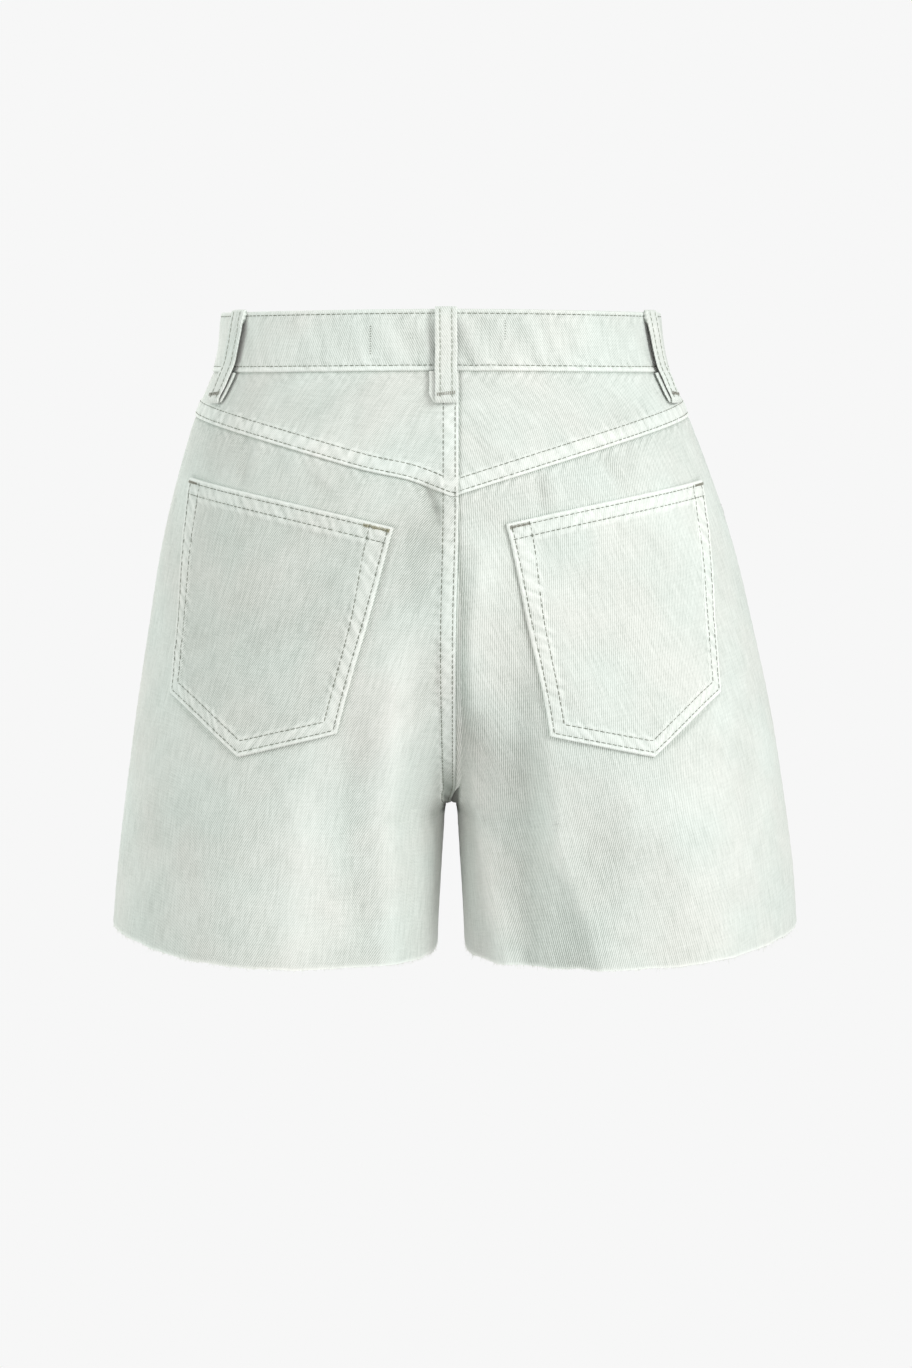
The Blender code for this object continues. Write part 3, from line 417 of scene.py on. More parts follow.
def puckers(distance, along, seed, slant=0.75, width=LAP_WIDTH):
    """Slanting puckers along a seam, strongest between its rows of stitches."""
    uneven = 0.65 + 0.45 * wander(along, 31, seed + 2)
    wave = np.sin(2 * math.pi * (along + slant * distance) / PUCKER_PITCH + 1.6 * wander(along, 23, seed))
    wave = wave + 0.35 * np.sin(4.4 * math.pi * (along + slant * distance) / PUCKER_PITCH + seed)
    between = ease(distance / 1.6) * (1 - ease((distance - width - 0.5) / 6.0))
    return PUCKER * uneven * wave * between


def felled(distance, along, seed):
    """(height, wear) of a felled seam by the distance from its fold and the place along it."""
    raised = LAP_PROUD * rounded(distance, EDGE_ROUND) * (1 - ease((distance - LAP_WIDTH) / LAP_STEP))
    rows = grooves(distance, ROW_DROPS)
    rope = puckers(distance, along, seed)
    light = 0.18 * close_to(distance - 0.9, 1) + 0.17 * (1 - ease((distance - LAP_WIDTH) / 2))
    return raised + rows + rope, light + 0.55 * rope + 0.25 * rows


def rolled(distance, along, seed):
    """(height, wear_and_shading) beside a plain seam, where the cloth turns in to it. The valley at the seam
    is painted darker, a painted shade.
    """
    down = -TURNED_IN * close_to(distance, EDGE_ROUND)
    drawn = 0.16 * np.sin(2 * math.pi * along / 8.5 + 1.5 * wander(along, 29, seed)) * np.exp(-distance / 5)
    return down + drawn, 0.3 * drawn - 0.24 * close_to(distance, 1.3)


def given(share):
    """How much a column gives where the cloth's length changes suddenly, by its share of the way across."""
    return 1 - share - (1 - share) ** 4


def panel_grid(quarter, start, first, last, between, top, bottom, levels):
    """s and drop of a panel's grid. Its columns lie at set distances from both edges and evenly between."""
    across = np.linspace(0, 1, between + 2)[1:-1]
    count = len(first) + between + len(last)
    upper = lower = np.linspace(0, 1, count)
    for _ in range(7):
        drop = levels(top(upper), bottom(lower))
        begin, end = start(drop), quarter.length(drop) - MEETING / 2
        inner, middle, outer = np.split(np.arange(count), [len(first), len(first) + between])
        low, high = begin[:, middle] + first[-1], end[:, middle] - last[0]
        even = low * (1 - across) + high * across
        even = even + quarter.sudden(drop)[:, middle] * given(across)
        columns = (begin[:, inner] + first, even, end[:, outer] - last)
        s = np.concatenate(columns, axis=1)
        share = np.clip(s / quarter.length(drop), 0, 1)
        upper, lower = share[0], share[-1]
    return s, drop


def kept_in(quarter, points, least):
    """Keeps a grid of points on its own side of the middle planes."""
    side = 1 if quarter.back else -1
    points[..., 1] = side * np.maximum(side * points[..., 1], MEETING)
    points[..., 0] = quarter.sign * np.maximum(quarter.sign * points[..., 0], least + MEETING)
    return points


def new_object(name, points, faces):
    """An object of these faces. The points are millimetres."""
    mesh = bpy.data.meshes.new(name)
    mesh.from_pydata((points.reshape(-1, 3) * MM).tolist(), [], faces)
    made = bpy.data.objects.new(name, mesh)
    bpy.context.scene.collection.objects.link(made)
    return made


def shell(name, outer, inner, flat, wear_and_shading, flip, inside_wear_and_shading=0.45):
    """A closed cloth wall between two grids of points, with their places on the cut cloth and their wear."""
    rows, columns = outer.shape[:2]
    count = rows * columns
    index = np.arange(count).reshape(rows, columns)
    quads = np.stack([index[:-1, :-1], index[:-1, 1:], index[1:, 1:], index[1:, :-1]], axis=-1).reshape(-1, 4)
    rim = np.concatenate([index[0], index[1:, -1], index[-1, -2::-1], index[-2:0:-1, 0]])
    after = np.roll(rim, -1)
    edge = np.stack([after, rim, rim + count, after + count], axis=-1)
    faces = np.concatenate([quads, quads[:, ::-1] + count, edge])
    if flip:
        faces = faces[:, ::-1]
    made = new_object(name, np.stack([outer, inner]), faces.tolist())
    mesh = made.data
    corners = np.empty(len(mesh.loops), np.int32)
    mesh.loops.foreach_get("vertex_index", corners)
    cut = np.tile(flat.reshape(-1, 2) * MM, (2, 1))
    mesh.uv_layers.new(name="cloth").data.foreach_set("uv", cut[corners].ravel())
    # The attribute holds the cloth's wear and the painted light and shade laid over it.
    worn_and_shaded = np.concatenate([wear_and_shading.ravel(), np.broadcast_to(inside_wear_and_shading, wear_and_shading.shape).ravel()])
    mesh.attributes.new("worn_and_shaded", "FLOAT", "POINT").data.foreach_set("value", worn_and_shaded)
    mesh.shade_smooth()
    mesh.set_sharp_from_angle(angle=math.radians(60))
    return made


def on_cut(quarter, s, drop, grain):
    """Places on the cut cloth, seen from outside, with its warp turned by grain degrees."""
    across = (s - quarter.length(drop)) * (-quarter.sign if quarter.back else quarter.sign)
    cos, sin = math.cos(math.radians(grain)), math.sin(math.radians(grain))
    return np.stack([across * cos + drop * sin, across * sin - drop * cos], axis=-1)


def outwards(quarter):
    """Whether a grid that runs from centre to side and downwards has to be turned to face out."""
    return (quarter.sign > 0) != quarter.back


def linear(code):
    """A linear colour from a hex one."""
    parts = [int(code[i : i + 2], 16) / 255 for i in (1, 3, 5)]
    return (*[c / 12.92 if c <= 0.04045 else ((c + 0.055) / 1.055) ** 2.4 for c in parts], 1.0)


def add_node(tree, kind, inputs=(), **settings):
    """Adds a node. inputs are (input, value or another node's output), and settings are its properties."""
    made = tree.nodes.new(kind)
    for name, value in settings.items():
        setattr(made, name, value)
    for name, value in inputs:
        if isinstance(value, bpy.types.NodeSocket):
            tree.links.new(value, made.inputs[name])
        else:
            made.inputs[name].default_value = value
    return made


def new_material(name):
    """A material, its node tree and its shader."""
    made = bpy.data.materials.new(name)
    made.use_nodes = True
    return made, made.node_tree, made.node_tree.nodes["Principled BSDF"]


# Bleached cotton twill: a right-hand diagonal, pale green-grey where the warp's last indigo is left in
# the valleys, almost white on what stands proud. Matt, with a short soft nap. The real twill lines are
# 1.0 mm apart, and they are drawn 1.15 mm apart here so that they show.
TWILL_PITCH = 1.15 * MM
TWILL_LEAN = 28.0  # from the warp
SLUB_SCALE = 620.0  # thicker and thinner places in the warp, 1.6 mm apart
PICK_SCALE = 780.0  # and in the weft, 1.3 mm apart
WASH_SCALE = 26.0  # patches that the wash has left, 38 mm wide
TINT_SCALE = 17.0  # greener and redder patches, 59 mm wide
denim, tree, shader = new_material("bleached cotton twill")
cut = add_node(tree, "ShaderNodeUVMap", uv_map="cloth").outputs["UV"]
turned = add_node(
    tree, "ShaderNodeMapping", [("Vector", cut), ("Rotation", (0, 0, math.radians(TWILL_LEAN)))]
)
twill = add_node(
    tree,
    "ShaderNodeTexWave",
    [
        ("Vector", turned.outputs[0]),
        ("Scale", math.pi / (10 * TWILL_PITCH)),
        ("Distortion", 2.0),
        ("Detail", 2.0),
        ("Detail Scale", 1.6),
        ("Detail Roughness", 0.6),
    ],
)
along_warp = add_node(tree, "ShaderNodeMapping", [("Vector", cut), ("Scale", (1.0, 0.12, 1.0))])
slubs = add_node(
    tree, "ShaderNodeTexNoise", [("Vector", along_warp.outputs[0]), ("Scale", SLUB_SCALE), ("Detail", 3.0)]
)
along_weft = add_node(tree, "ShaderNodeMapping", [("Vector", cut), ("Scale", (0.12, 1.0, 1.0))])
picks = add_node(
    tree, "ShaderNodeTexNoise", [("Vector", along_weft.outputs[0]), ("Scale", PICK_SCALE), ("Detail", 2.0)]
)
wash = add_node(tree, "ShaderNodeTexNoise", [("Vector", cut), ("Scale", WASH_SCALE), ("Detail", 3.0)])
worn_and_shaded = add_node(tree, "ShaderNodeAttribute", attribute_name="worn_and_shaded").outputs["Fac"]
# Where the nap is worn off, as on a seam, the diagonal fades.
centred = add_node(tree, "ShaderNodeMath", [(0, twill.outputs["Fac"]), (1, 0.5)], operation="SUBTRACT")
share_left = add_node(
    tree, "ShaderNodeMath", [(0, worn_and_shaded), (1, -0.9), (2, 0.95)], operation="MULTIPLY_ADD", use_clamp=True
)
level = add_node(
    tree, "ShaderNodeMath", [(0, centred.outputs[0]), (1, share_left.outputs[0])], operation="MULTIPLY"
)
for source, share in ((slubs, 0.50), (picks, 0.25), (wash, 0.30)):
    part = add_node(
        tree,
        "ShaderNodeMath",
        [(0, source.outputs["Fac"]), (1, share), (2, -share / 2)],
        operation="MULTIPLY_ADD",
    )
    level = add_node(tree, "ShaderNodeMath", [(0, level.outputs[0]), (1, part.outputs[0])], operation="ADD")
level = add_node(tree, "ShaderNodeMath", [(0, level.outputs[0]), (1, worn_and_shaded)], operation="ADD")
ramp = add_node(tree, "ShaderNodeValToRGB", [("Fac", level.outputs[0])])
ramp.color_ramp.elements[0].position = 0.0
ramp.color_ramp.elements[0].color = linear("#a9afaa")
ramp.color_ramp.elements[1].position = 1.0
ramp.color_ramp.elements[1].color = linear("#fcfdfc")
ramp.color_ramp.elements.new(0.5).color = linear("#dfe2df")
patches = add_node(tree, "ShaderNodeTexNoise", [("Vector", cut), ("Scale", TINT_SCALE), ("Detail", 2.0)])
tint = add_node(tree, "ShaderNodeValToRGB", [("Fac", patches.outputs["Fac"])])
tint.color_ramp.elements[0].position = 0.35
tint.color_ramp.elements[0].color = linear("#fbfffe")
tint.color_ramp.elements[1].position = 0.65
tint.color_ramp.elements[1].color = linear("#fffefd")
cloth_colour = add_node(
    tree,
    "ShaderNodeMix",
    [(0, 1.0), (6, ramp.outputs["Color"]), (7, tint.outputs["Color"])],
    data_type="RGBA",
    blend_type="MULTIPLY",
)
# Where the attribute is far below 0, the colour turns to a near black brown: painted shade in the slits
# behind the belt loops and the cleft above the crotch.
depth = add_node(
    tree, "ShaderNodeMapRange", [("Value", worn_and_shaded), ("From Min", -0.3), ("From Max", -1.3), ("To Max", 1.0)]
)
cloth_colour = add_node(
    tree,
    "ShaderNodeMix",
    [(0, depth.outputs["Result"]), (6, cloth_colour.outputs[2]), (7, linear("#2f2b26"))],
    data_type="RGBA",
)
tree.links.new(cloth_colour.outputs[2], shader.inputs["Base Color"])
ribs = add_node(
    tree,
    "ShaderNodeBump",
    [("Height", twill.outputs["Fac"]), ("Distance", 0.12 * MM), ("Strength", 0.7)],
)
yarns = add_node(
    tree,
    "ShaderNodeBump",
    [
        ("Height", slubs.outputs["Fac"]),
        ("Distance", 0.35 * MM),
        ("Strength", 0.5),
        ("Normal", ribs.outputs["Normal"]),
    ],
)
tree.links.new(yarns.outputs["Normal"], shader.inputs["Normal"])
shader.inputs["Roughness"].default_value = 0.92
shader.inputs["Specular IOR Level"].default_value = 0.25
shader.inputs["Sheen Weight"].default_value = 0.22
shader.inputs["Sheen Roughness"].default_value = 0.6

TWIST_SCALE = 520.0  # the thread's strands, 0.7 mm from one turn to the next
FADE_SCALE = 45.0  # its fading changes about every 22 mm


def new_thread(name, dark, light):
    """Twisted polyester thread: fine slanting bands along each stitch, faded unevenly, a little glossy."""
    made, tree, shader = new_material(name)
    place = add_node(tree, "ShaderNodeTexCoord").outputs["Object"]
    twist = add_node(
        tree,
        "ShaderNodeTexWave",
        [("Vector", place), ("Scale", TWIST_SCALE), ("Distortion", 1.5)],
        bands_direction="DIAGONAL",
    )
    fade = add_node(tree, "ShaderNodeTexNoise", [("Vector", place), ("Scale", FADE_SCALE), ("Detail", 2.0)])
    level = add_node(
        tree,
        "ShaderNodeMath",
        [(0, twist.outputs["Fac"]), (1, 0.25), (2, fade.outputs["Fac"])],
        operation="MULTIPLY_ADD",
    )
    ramp = add_node(tree, "ShaderNodeValToRGB", [("Fac", level.outputs[0])])
    ramp.color_ramp.elements[0].position = 0.3
    ramp.color_ramp.elements[0].color = linear(dark)
    ramp.color_ramp.elements[1].position = 0.85
    ramp.color_ramp.elements[1].color = linear(light)
    tree.links.new(ramp.outputs["Color"], shader.inputs["Base Color"])
    bump = add_node(
        tree, "ShaderNodeBump", [("Height", twist.outputs["Fac"]), ("Distance", 0.1 * MM), ("Strength", 0.6)]
    )
    tree.links.new(bump.outputs["Normal"], shader.inputs["Normal"])
    shader.inputs["Roughness"].default_value = 0.6
    return made


# The seams' thread is a grey-green that the wash has left darker than the cloth. The belt loops' is paler,
# the bartacks' is browner, and one of them was worked in khaki.
thread = new_thread("grey green thread", "#55594f", "#85897c")
pale_thread = new_thread("pale green thread", "#8c9287", "#b9beb3")
tack_thread = new_thread("grey brown thread", "#77746a", "#a09d92")
khaki_thread = new_thread("khaki thread", "#7d7755", "#a8a281")

STITCH_PITCH = 3.3
STITCH_SHARE = 0.92  # of the pitch that a stitch covers
THREAD_WIDTH = 0.42


def run_of(quarter, s, drop, out):
    """A line on the cloth, as (its places, which way is out), from arrays of s, drop and out."""
    return quarter.place(s, drop, out), quarter.normal(s, drop)


def run_along(points):
    """The distance along a line to each of its points."""
    return np.concatenate([[0], np.cumsum(np.linalg.norm(np.diff(points, axis=0), axis=1))])


def read_at(at, run, values):
    """Places or directions that are known along a run, read at other distances along it."""
    return np.stack([np.interp(at, run, values[:, k]) for k in range(3)], axis=1)


def stitched(line, pitch=STITCH_PITCH, share=STITCH_SHARE):
    """The stitches along a line, each as (its start, its end, which way is out)."""
    points, out = line
    run = run_along(points)
    count = max(1, int(run[-1] // pitch))
    order = np.arange(count)
    begin = (order + (1 - share) / 2 + 0.05 * wander(order, 3.7, count)) * run[-1] / count
    finish = begin + share * run[-1] / count
    return read_at(begin, run, points), read_at(finish, run, points), read_at((begin + finish) / 2, run, out)


def seam_row(quarter, s, drop, relief, lift=0.05):
    """A row of stitches that lies on a quarter's relief."""
    return stitched(run_of(quarter, s, drop, relief(quarter, s, drop)[0] + lift))


def tacked(line, width, pitch=0.8):
    """A bartack along a line: bars of thread side by side, each as long as the tack is wide."""
    points, out = line
    run = run_along(points)
    at = np.arange(0, run[-1], pitch)
    middle, normal = read_at(at, run, points), read_at(at, run, out)
    ahead = (points[-1] - points[0]) / np.linalg.norm(points[-1] - points[0])
    across = np.cross(normal, ahead)
    across /= np.linalg.norm(across, axis=1, keepdims=True)
    reach = width * (0.5 + 0.08 * wander(at, 1.9, 3))[:, None]
    return middle - across * reach, middle + across * reach + ahead * pitch * 0.5, normal


def sewing(name, parts, fibre=thread):
    """One mesh of all these stitches: short threads whose ends dip into the cloth."""
    begin, finish, out = (np.concatenate([part[k] for part in parts]) for k in range(3))
    ahead = finish - begin
    length = np.linalg.norm(ahead, axis=1, keepdims=True)
    ahead = ahead / length
    side = np.cross(ahead, out)
    side /= np.maximum(np.linalg.norm(side, axis=1, keepdims=True), 1e-9)
    out = np.cross(side, ahead)
    count, sides = len(begin), 6
    turns = np.arange(sides) * 2 * math.pi / sides
    rings = []
    for along, high, wide in ((0.13, 0.02, 0.85), (0.5, 0.16, 1.0), (0.87, 0.02, 0.85)):
        middle = begin + ahead * length * along + out * high
        for turn in turns:
            round_it = side * math.cos(turn) * THREAD_WIDTH / 2 + out * math.sin(turn) * THREAD_WIDTH * 0.4
            rings.append(middle + round_it * wide)
    points = np.stack([begin - out * 0.35, *rings, finish - out * 0.35], axis=1)
    per = points.shape[1]
    faces, caps = [], []
    for k in range(sides):
        n = (k + 1) % sides
        caps.append([0, 1 + n, 1 + k])
        caps.append([per - 1, 1 + 2 * sides + k, 1 + 2 * sides + n])
        for ring in range(2):
            low, high = 1 + ring * sides, 1 + (ring + 1) * sides
            faces.append([low + k, low + n, high + n, high + k])
    step = (np.arange(count) * per)[:, None, None]
    quads = (np.array(faces)[None] + step).reshape(-1, 4).tolist()
    quads += (np.array(caps)[None] + step).reshape(-1, 3).tolist()
    made = new_object(name, points, quads)
    made.data.shade_smooth()
    made.data.materials.append(fibre)
    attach(made, "root")
    return made


def fray(name, quarter, count, seed):
    """Loose ends of yarn all along the cut hem of a panel, most of them short."""
    pick = np.random.default_rng(seed)
    length = float(quarter.length(HEM_DROP_SIDE))
    s = pick.uniform(1, length - 1, count)
    drop = hem_line(s / length, seed) - pick.uniform(0.0, 0.7, count)
    root = quarter.place(s, drop, pick.uniform(-DENIM + 0.2, -0.2, count))
    out = quarter.normal(s, drop)
    down = np.array([0.0, 0.0, -1.0])
    across = np.cross(out, down)
    long = np.where(pick.random(count) < 0.06, pick.uniform(2.2, 4.6, count), pick.uniform(0.7, 2.0, count))
    lean, away, curl = pick.normal(0, 0.55, count), pick.normal(0.05, 0.35, count), pick.normal(0, 0.5, count)
    thick = pick.uniform(0.07, 0.13, count)
    rings = []
    for step, share in enumerate((0.0, 0.4, 0.75, 1.0)):
        bend = (lean + curl * share)[:, None] * across + (away * (1 + share))[:, None] * out + down
        middle = root + bend / np.linalg.norm(bend, axis=1, keepdims=True) * (long * share)[:, None]
        for k in range(3):
            turn = k * 2 * math.pi / 3
            thin = (thick * (1 - 0.6 * share))[:, None]
            rings.append(middle + thin * (across * math.cos(turn) + out * math.sin(turn)))
    points = np.stack(rings, axis=1)
    faces = []
    for ring in range(3):
        for k in range(3):
            n = (k + 1) % 3
            faces.append([ring * 3 + k, ring * 3 + n, ring * 3 + 3 + n, ring * 3 + 3 + k])
    step = (np.arange(count) * 12)[:, None, None]
    quads = (np.array(faces)[None] + step).reshape(-1, 4).tolist()
    ends = np.array([[2, 1, 0], [9, 10, 11]])
    quads += (ends[None] + step).reshape(-1, 3).tolist()
    made = new_object(name, points, quads)
    made.data.materials.append(yarn)
    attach(made, "root")
    return made


# Loose cotton yarn at the cut edge, bleached white and matt.
YARN_SCALE = 300.0  # lighter and darker places in it, 3 mm apart
yarn, tree, shader = new_material("frayed cotton yarn")
place = add_node(tree, "ShaderNodeTexCoord").outputs["Object"]
mixed = add_node(tree, "ShaderNodeTexNoise", [("Vector", place), ("Scale", YARN_SCALE), ("Detail", 2.0)])
ramp = add_node(tree, "ShaderNodeValToRGB", [("Fac", mixed.outputs["Fac"])])
ramp.color_ramp.elements[0].position = 0.35
ramp.color_ramp.elements[0].color = linear("#d9ded5")
ramp.color_ramp.elements[1].position = 0.65
ramp.color_ramp.elements[1].color = linear("#f6f8f3")
tree.links.new(ramp.outputs["Color"], shader.inputs["Base Color"])
shader.inputs["Roughness"].default_value = 0.95
shader.inputs["Sheen Weight"].default_value = 0.2

# By side, whether it is the left one: width, length and area of the cut that shows, in metres, how light
# the cloth is, and how many degrees its warp leans.
PANEL_CUT = {True: (0.336, 0.317, 0.0862), False: (0.340, 0.317, 0.0848)}
BACK_TONE = {True: 0.47, False: 0.49}
BACK_GRAIN = {True: 4.0, False: -10.0}
PANEL_LENGTH = 275.0
CUT_SHARE = np.array([0, 0.3, 0.8, 1.6]) / PANEL_LENGTH
PANEL_ROWS = np.concatenate([CUT_SHARE, np.linspace(0.01, 0.99, 138), 1 - CUT_SHARE[::-1]])
RAW_THIN = 0.35  # the cut edge is worn thinner on each side
RAW_LIGHT = 0.45
TUCK = 0.7  # how far a piece's top dips under the piece above it
# Painted shadow: how much darker a piece's top is painted where the piece above laps over it.
TUCK_SHADOW = 0.30


def round_crotch(rows):
    """Levels of a panel's rows, closer together round the crotch near its inner edge."""

    def levels(top, bottom):
        split = (CROTCH_DROP - top[0]) / (bottom[0] - top[0])
        nearest = rows[np.argmin(np.abs(rows - split))]
        t = np.interp(rows, [0, nearest, 1], [0, split, 1])[:, None]  # one row lies level with the crotch
        even = top + (bottom - top) * t
        above = CROTCH_DROP - (CROTCH_DROP - top) * np.clip(1 - t / split, 0, 1) ** 1.4
        below = CROTCH_DROP + (bottom - CROTCH_DROP) * np.clip((t - split) / (1 - split), 0, 1) ** 1.4
        inner = 1 - ease((np.linspace(0, 1, len(top)) - 0.12) / 0.34)
        return even * (1 - inner) + np.where(t <= split, above, below) * inner

    return levels


def seat_width(drop):
    """How much narrower the seat's felled seam gets towards the crotch."""
    return 1 - 0.03 * ease((drop - 170) / 110)


SEAT_SUNK = 1.7  # the right panel dips this much beside the left one's fold
# Painted shade in the cleft between the legs, and painted light on the insides of the legs below the crotch,
# by side.
BETWEEN_LEGS_SHADE = 1.55
INSEAM_PAINTED_LIGHT = {True: 0.40, False: 0.26}


def between_legs(quarter, s, drop):
    """How much darker the cloth is painted in the cleft above the crotch, a painted shade, and how much
    lighter on the insides of the legs below it, a painted light.
    """
    aside = np.abs(quarter.bare(s, drop)[..., 0])
    dark = BETWEEN_LEGS_SHADE * (1 - ease((aside - 3.8) / 2.0)) * ease((drop - 254) / 38)
    dark = dark * (1 - ease((drop - CROTCH_DROP) / 4))
    return dark - INSEAM_PAINTED_LIGHT[quarter.left] * close_to(s, 46) * ease((drop - 293) / 10)


def seat_seam(quarter, s, drop):
    """(height, wear) of the seat seam. The wearer's left panel is folded over, the right lies under it."""
    lap = centre_lap(drop)
    # Painted shade in the cleft and painted light on the insides of the legs.
    cleft_shade_and_inseam_light = between_legs(quarter, s, drop)
    if not quarter.left:
        height, wear_and_shading = rolled(s - lap, drop, 5.0)
        sunk = close_to(s - lap, 7.0) * ease((drop - 115) / 60) * (1 - ease((drop - 274) / 18))
        # The right panel is painted darker where it dips beside the fold: painted shade.
        return height - SEAT_SUNK * sunk, wear_and_shading - 0.20 * sunk - cleft_shade_and_inseam_light
    across = (s + lap) / seat_width(drop)
    height, wear_and_shading = felled(across, drop, 2.0)
    # A dark line is painted along the outer row towards the crotch: painted shade.
    wear_and_shading = wear_and_shading - 0.35 * close_to(across - ROW_DROPS[1], 0.9) * ease((drop - 190) / 60)
    kept = 1 - ease((drop - CROTCH_DROP + 8) / 8)
    plain, plain_wear_and_shading = rolled(s, drop, 4.0)
    return height * kept + plain * (1 - kept), wear_and_shading * kept + plain_wear_and_shading * (1 - kept) - cleft_shade_and_inseam_light


# Corners of the pocket on each back panel, as (u, drop).
POCKETS = {
    True: ((42.5, 98.0), (196.0, 122.5), (190.5, 239.0), (135.0, 254.5), (66.5, 223.0)),
    False: ((40.5, 99.5), (191.5, 120.5), (201.5, 240.5), (144.5, 254.0), (81.0, 221.5)),
}


def pocket_edge_shadow(left, u, drop):
    """1 at a pocket's outline and nothing a little way from it. The panel is painted darker there: a painted
    shadow along the patch's edge.
    """
    corners = np.array(POCKETS[left])
    nearest = np.full(u.shape, 99.0)
    for begin, end in zip(corners, np.roll(corners, -1, axis=0)):
        way, at_u, at_drop = end - begin, u - begin[0], drop - begin[1]
        along = np.clip((at_u * way[0] + at_drop * way[1]) / (way @ way), 0, 1)
        nearest = np.minimum(nearest, np.hypot(at_u - along * way[0], at_drop - along * way[1]))
    return close_to(nearest, 1.6)


def raw_edge(drop):
    """1 at the cut hem of a grid, and nothing a little above it."""
    return close_to(drop[-1] - drop, 1.3)


def tucked(drop):
    """1 at the top of a grid, where the piece above covers it, and nothing a little below."""
    return close_to(drop - drop[0], 1.1)


for side, left in SIDES.items():
    quarter = QUARTERS[left, True]
    s, drop = panel_grid(
        quarter,
        lambda d: -quarter.sign * centre_lap(d),
        SEAM_STEPS,
        EDGE_STEPS,
        104,
        lambda share: yoke_line(share, left) + MEETING,
        lambda share: hem_line(share, left + 11.0),
        round_crotch(PANEL_ROWS),
    )
    height, wear_and_shading = seat_seam(quarter, s, drop)
    side_height, side_wear_and_shading = rolled(quarter.length(drop) - s, drop, 7.0 + left)
    under_yoke = puckers(drop - yoke_line(s / quarter.length(drop), left) + 9, s, 3.0 + left, width=12)
    height = height + side_height + 0.6 * under_yoke - TUCK * tucked(drop) - RAW_THIN * raw_edge(drop)
    # The panel's top is painted darker under the yoke's fold, a painted shadow.
    wear_and_shading = wear_and_shading + side_wear_and_shading + 0.5 * under_yoke - TUCK_SHADOW * tucked(drop) + RAW_LIGHT * raw_edge(drop)
    # Painted shadow along the pocket's outline.
    wear_and_shading = wear_and_shading - 0.30 * pocket_edge_shadow(left, quarter.length(drop) - s, drop)
    least = -quarter.sign * centre_lap(drop)
    panel = shell(
        f"back_panel_{side}_cloth",
        kept_in(quarter, quarter.place(s, drop, height), least),
        kept_in(quarter, quarter.place(s, drop, -DENIM + RAW_THIN * raw_edge(drop)), least),
        on_cut(quarter, s, drop, BACK_GRAIN[left]),
        BACK_TONE[left] + quarter.bleached(s, drop) + wear_and_shading,
        outwards(quarter),
    )
    panel.data.materials.append(denim)
    pieces = [fray(f"back_hem_{side}_ends", quarter, 900, 11 + left)]
    if left:
        level = np.linspace(yoke_line(0, left) + 0.5, CROTCH_DROP - 1.5, 500)
        fold, narrowed = -centre_lap(level), seat_width(level)
        rows = [seam_row(quarter, fold + row * narrowed, level, seat_seam) for row in ROW_DROPS]
        pieces.append(sewing("seat_seam_stitches", rows))
    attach(panel, "root")
    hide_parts(f"back_panel_{side}")
    width, length, area = PANEL_CUT[left]

# ------------------------------------------------------------------------------ back yokes
# A shaped piece on each side between the waistband and the back panel, in the same twill. Its lower
# edge is folded over the panel and felled to it with two rows, in a V over the seat.
YOKE_CUT = {True: (0.222, 0.070, 0.0112), False: (0.216, 0.070, 0.0097)}
YOKE_GRAIN = {True: 4.0, False: -16.0}
# Painted light: the yoke is painted lighter than the panel below, for the light falling on its upward slope.
YOKE_LIGHTER = 0.05  # than the panel below it
YOKE_DRAWN = {True: 0.9, False: 0.3}  # how strongly its thread has drawn up its fold


def waist_top(share, back):
    """Drop of the waistband's top edge, from the centre (share 0) to the side seam (share 1)."""
    centre = -0.5 if back else 7.0
    return 1.5 + (centre - 1.5) * (1 - ease(share))


def waist_seam(share, back):
    """Drop of the seam under the waistband."""
    return waist_top(share, back) + BAND_HEIGHT


def yoke_lean(share, left):
    """How much longer the way down is than the way square to the yoke's fold."""
    share = np.clip(share, 0.01, 0.99)
    slope = (yoke_line(share - 0.01, left) - yoke_line(share + 0.01, left)) / 0.02 / 215
    return np.sqrt(1 + slope**2)


def yoke_relief(quarter, s, drop):
    """(height, wear) of the yoke: the seat seam and its own lower fold, whichever stands higher."""
    share = np.clip(s / quarter.length(drop), 0, 1)
    from_fold = (yoke_line(share, quarter.left) - drop) / yoke_lean(share, quarter.left)
    height, wear_and_shading = felled(from_fold, s, 6.0 + quarter.left)
    drawn_up = YOKE_DRAWN[quarter.left] * puckers(from_fold, s, 2.0, -0.4)
    height, wear_and_shading = height + drawn_up, wear_and_shading + 0.5 * drawn_up
    seat_height, seat_wear_and_shading = seat_seam(quarter, s, drop)
    if not quarter.left:
        return height + seat_height, wear_and_shading + seat_wear_and_shading
    return np.maximum(height, seat_height), np.where(height > seat_height, wear_and_shading, seat_wear_and_shading)


def yoke_levels(top, bottom):
    """Levels of a yoke's rows, at the seam's distances above its lower fold and evenly above them."""
    lower = bottom - SEAM_STEPS[::-1, None] * 1.04
    t = np.concatenate([[0, 0.02, 0.05, 0.09], np.linspace(0.14, 1, 24)[:-1]])[:, None]
    return np.concatenate([top + (lower[0] - top) * t, lower])


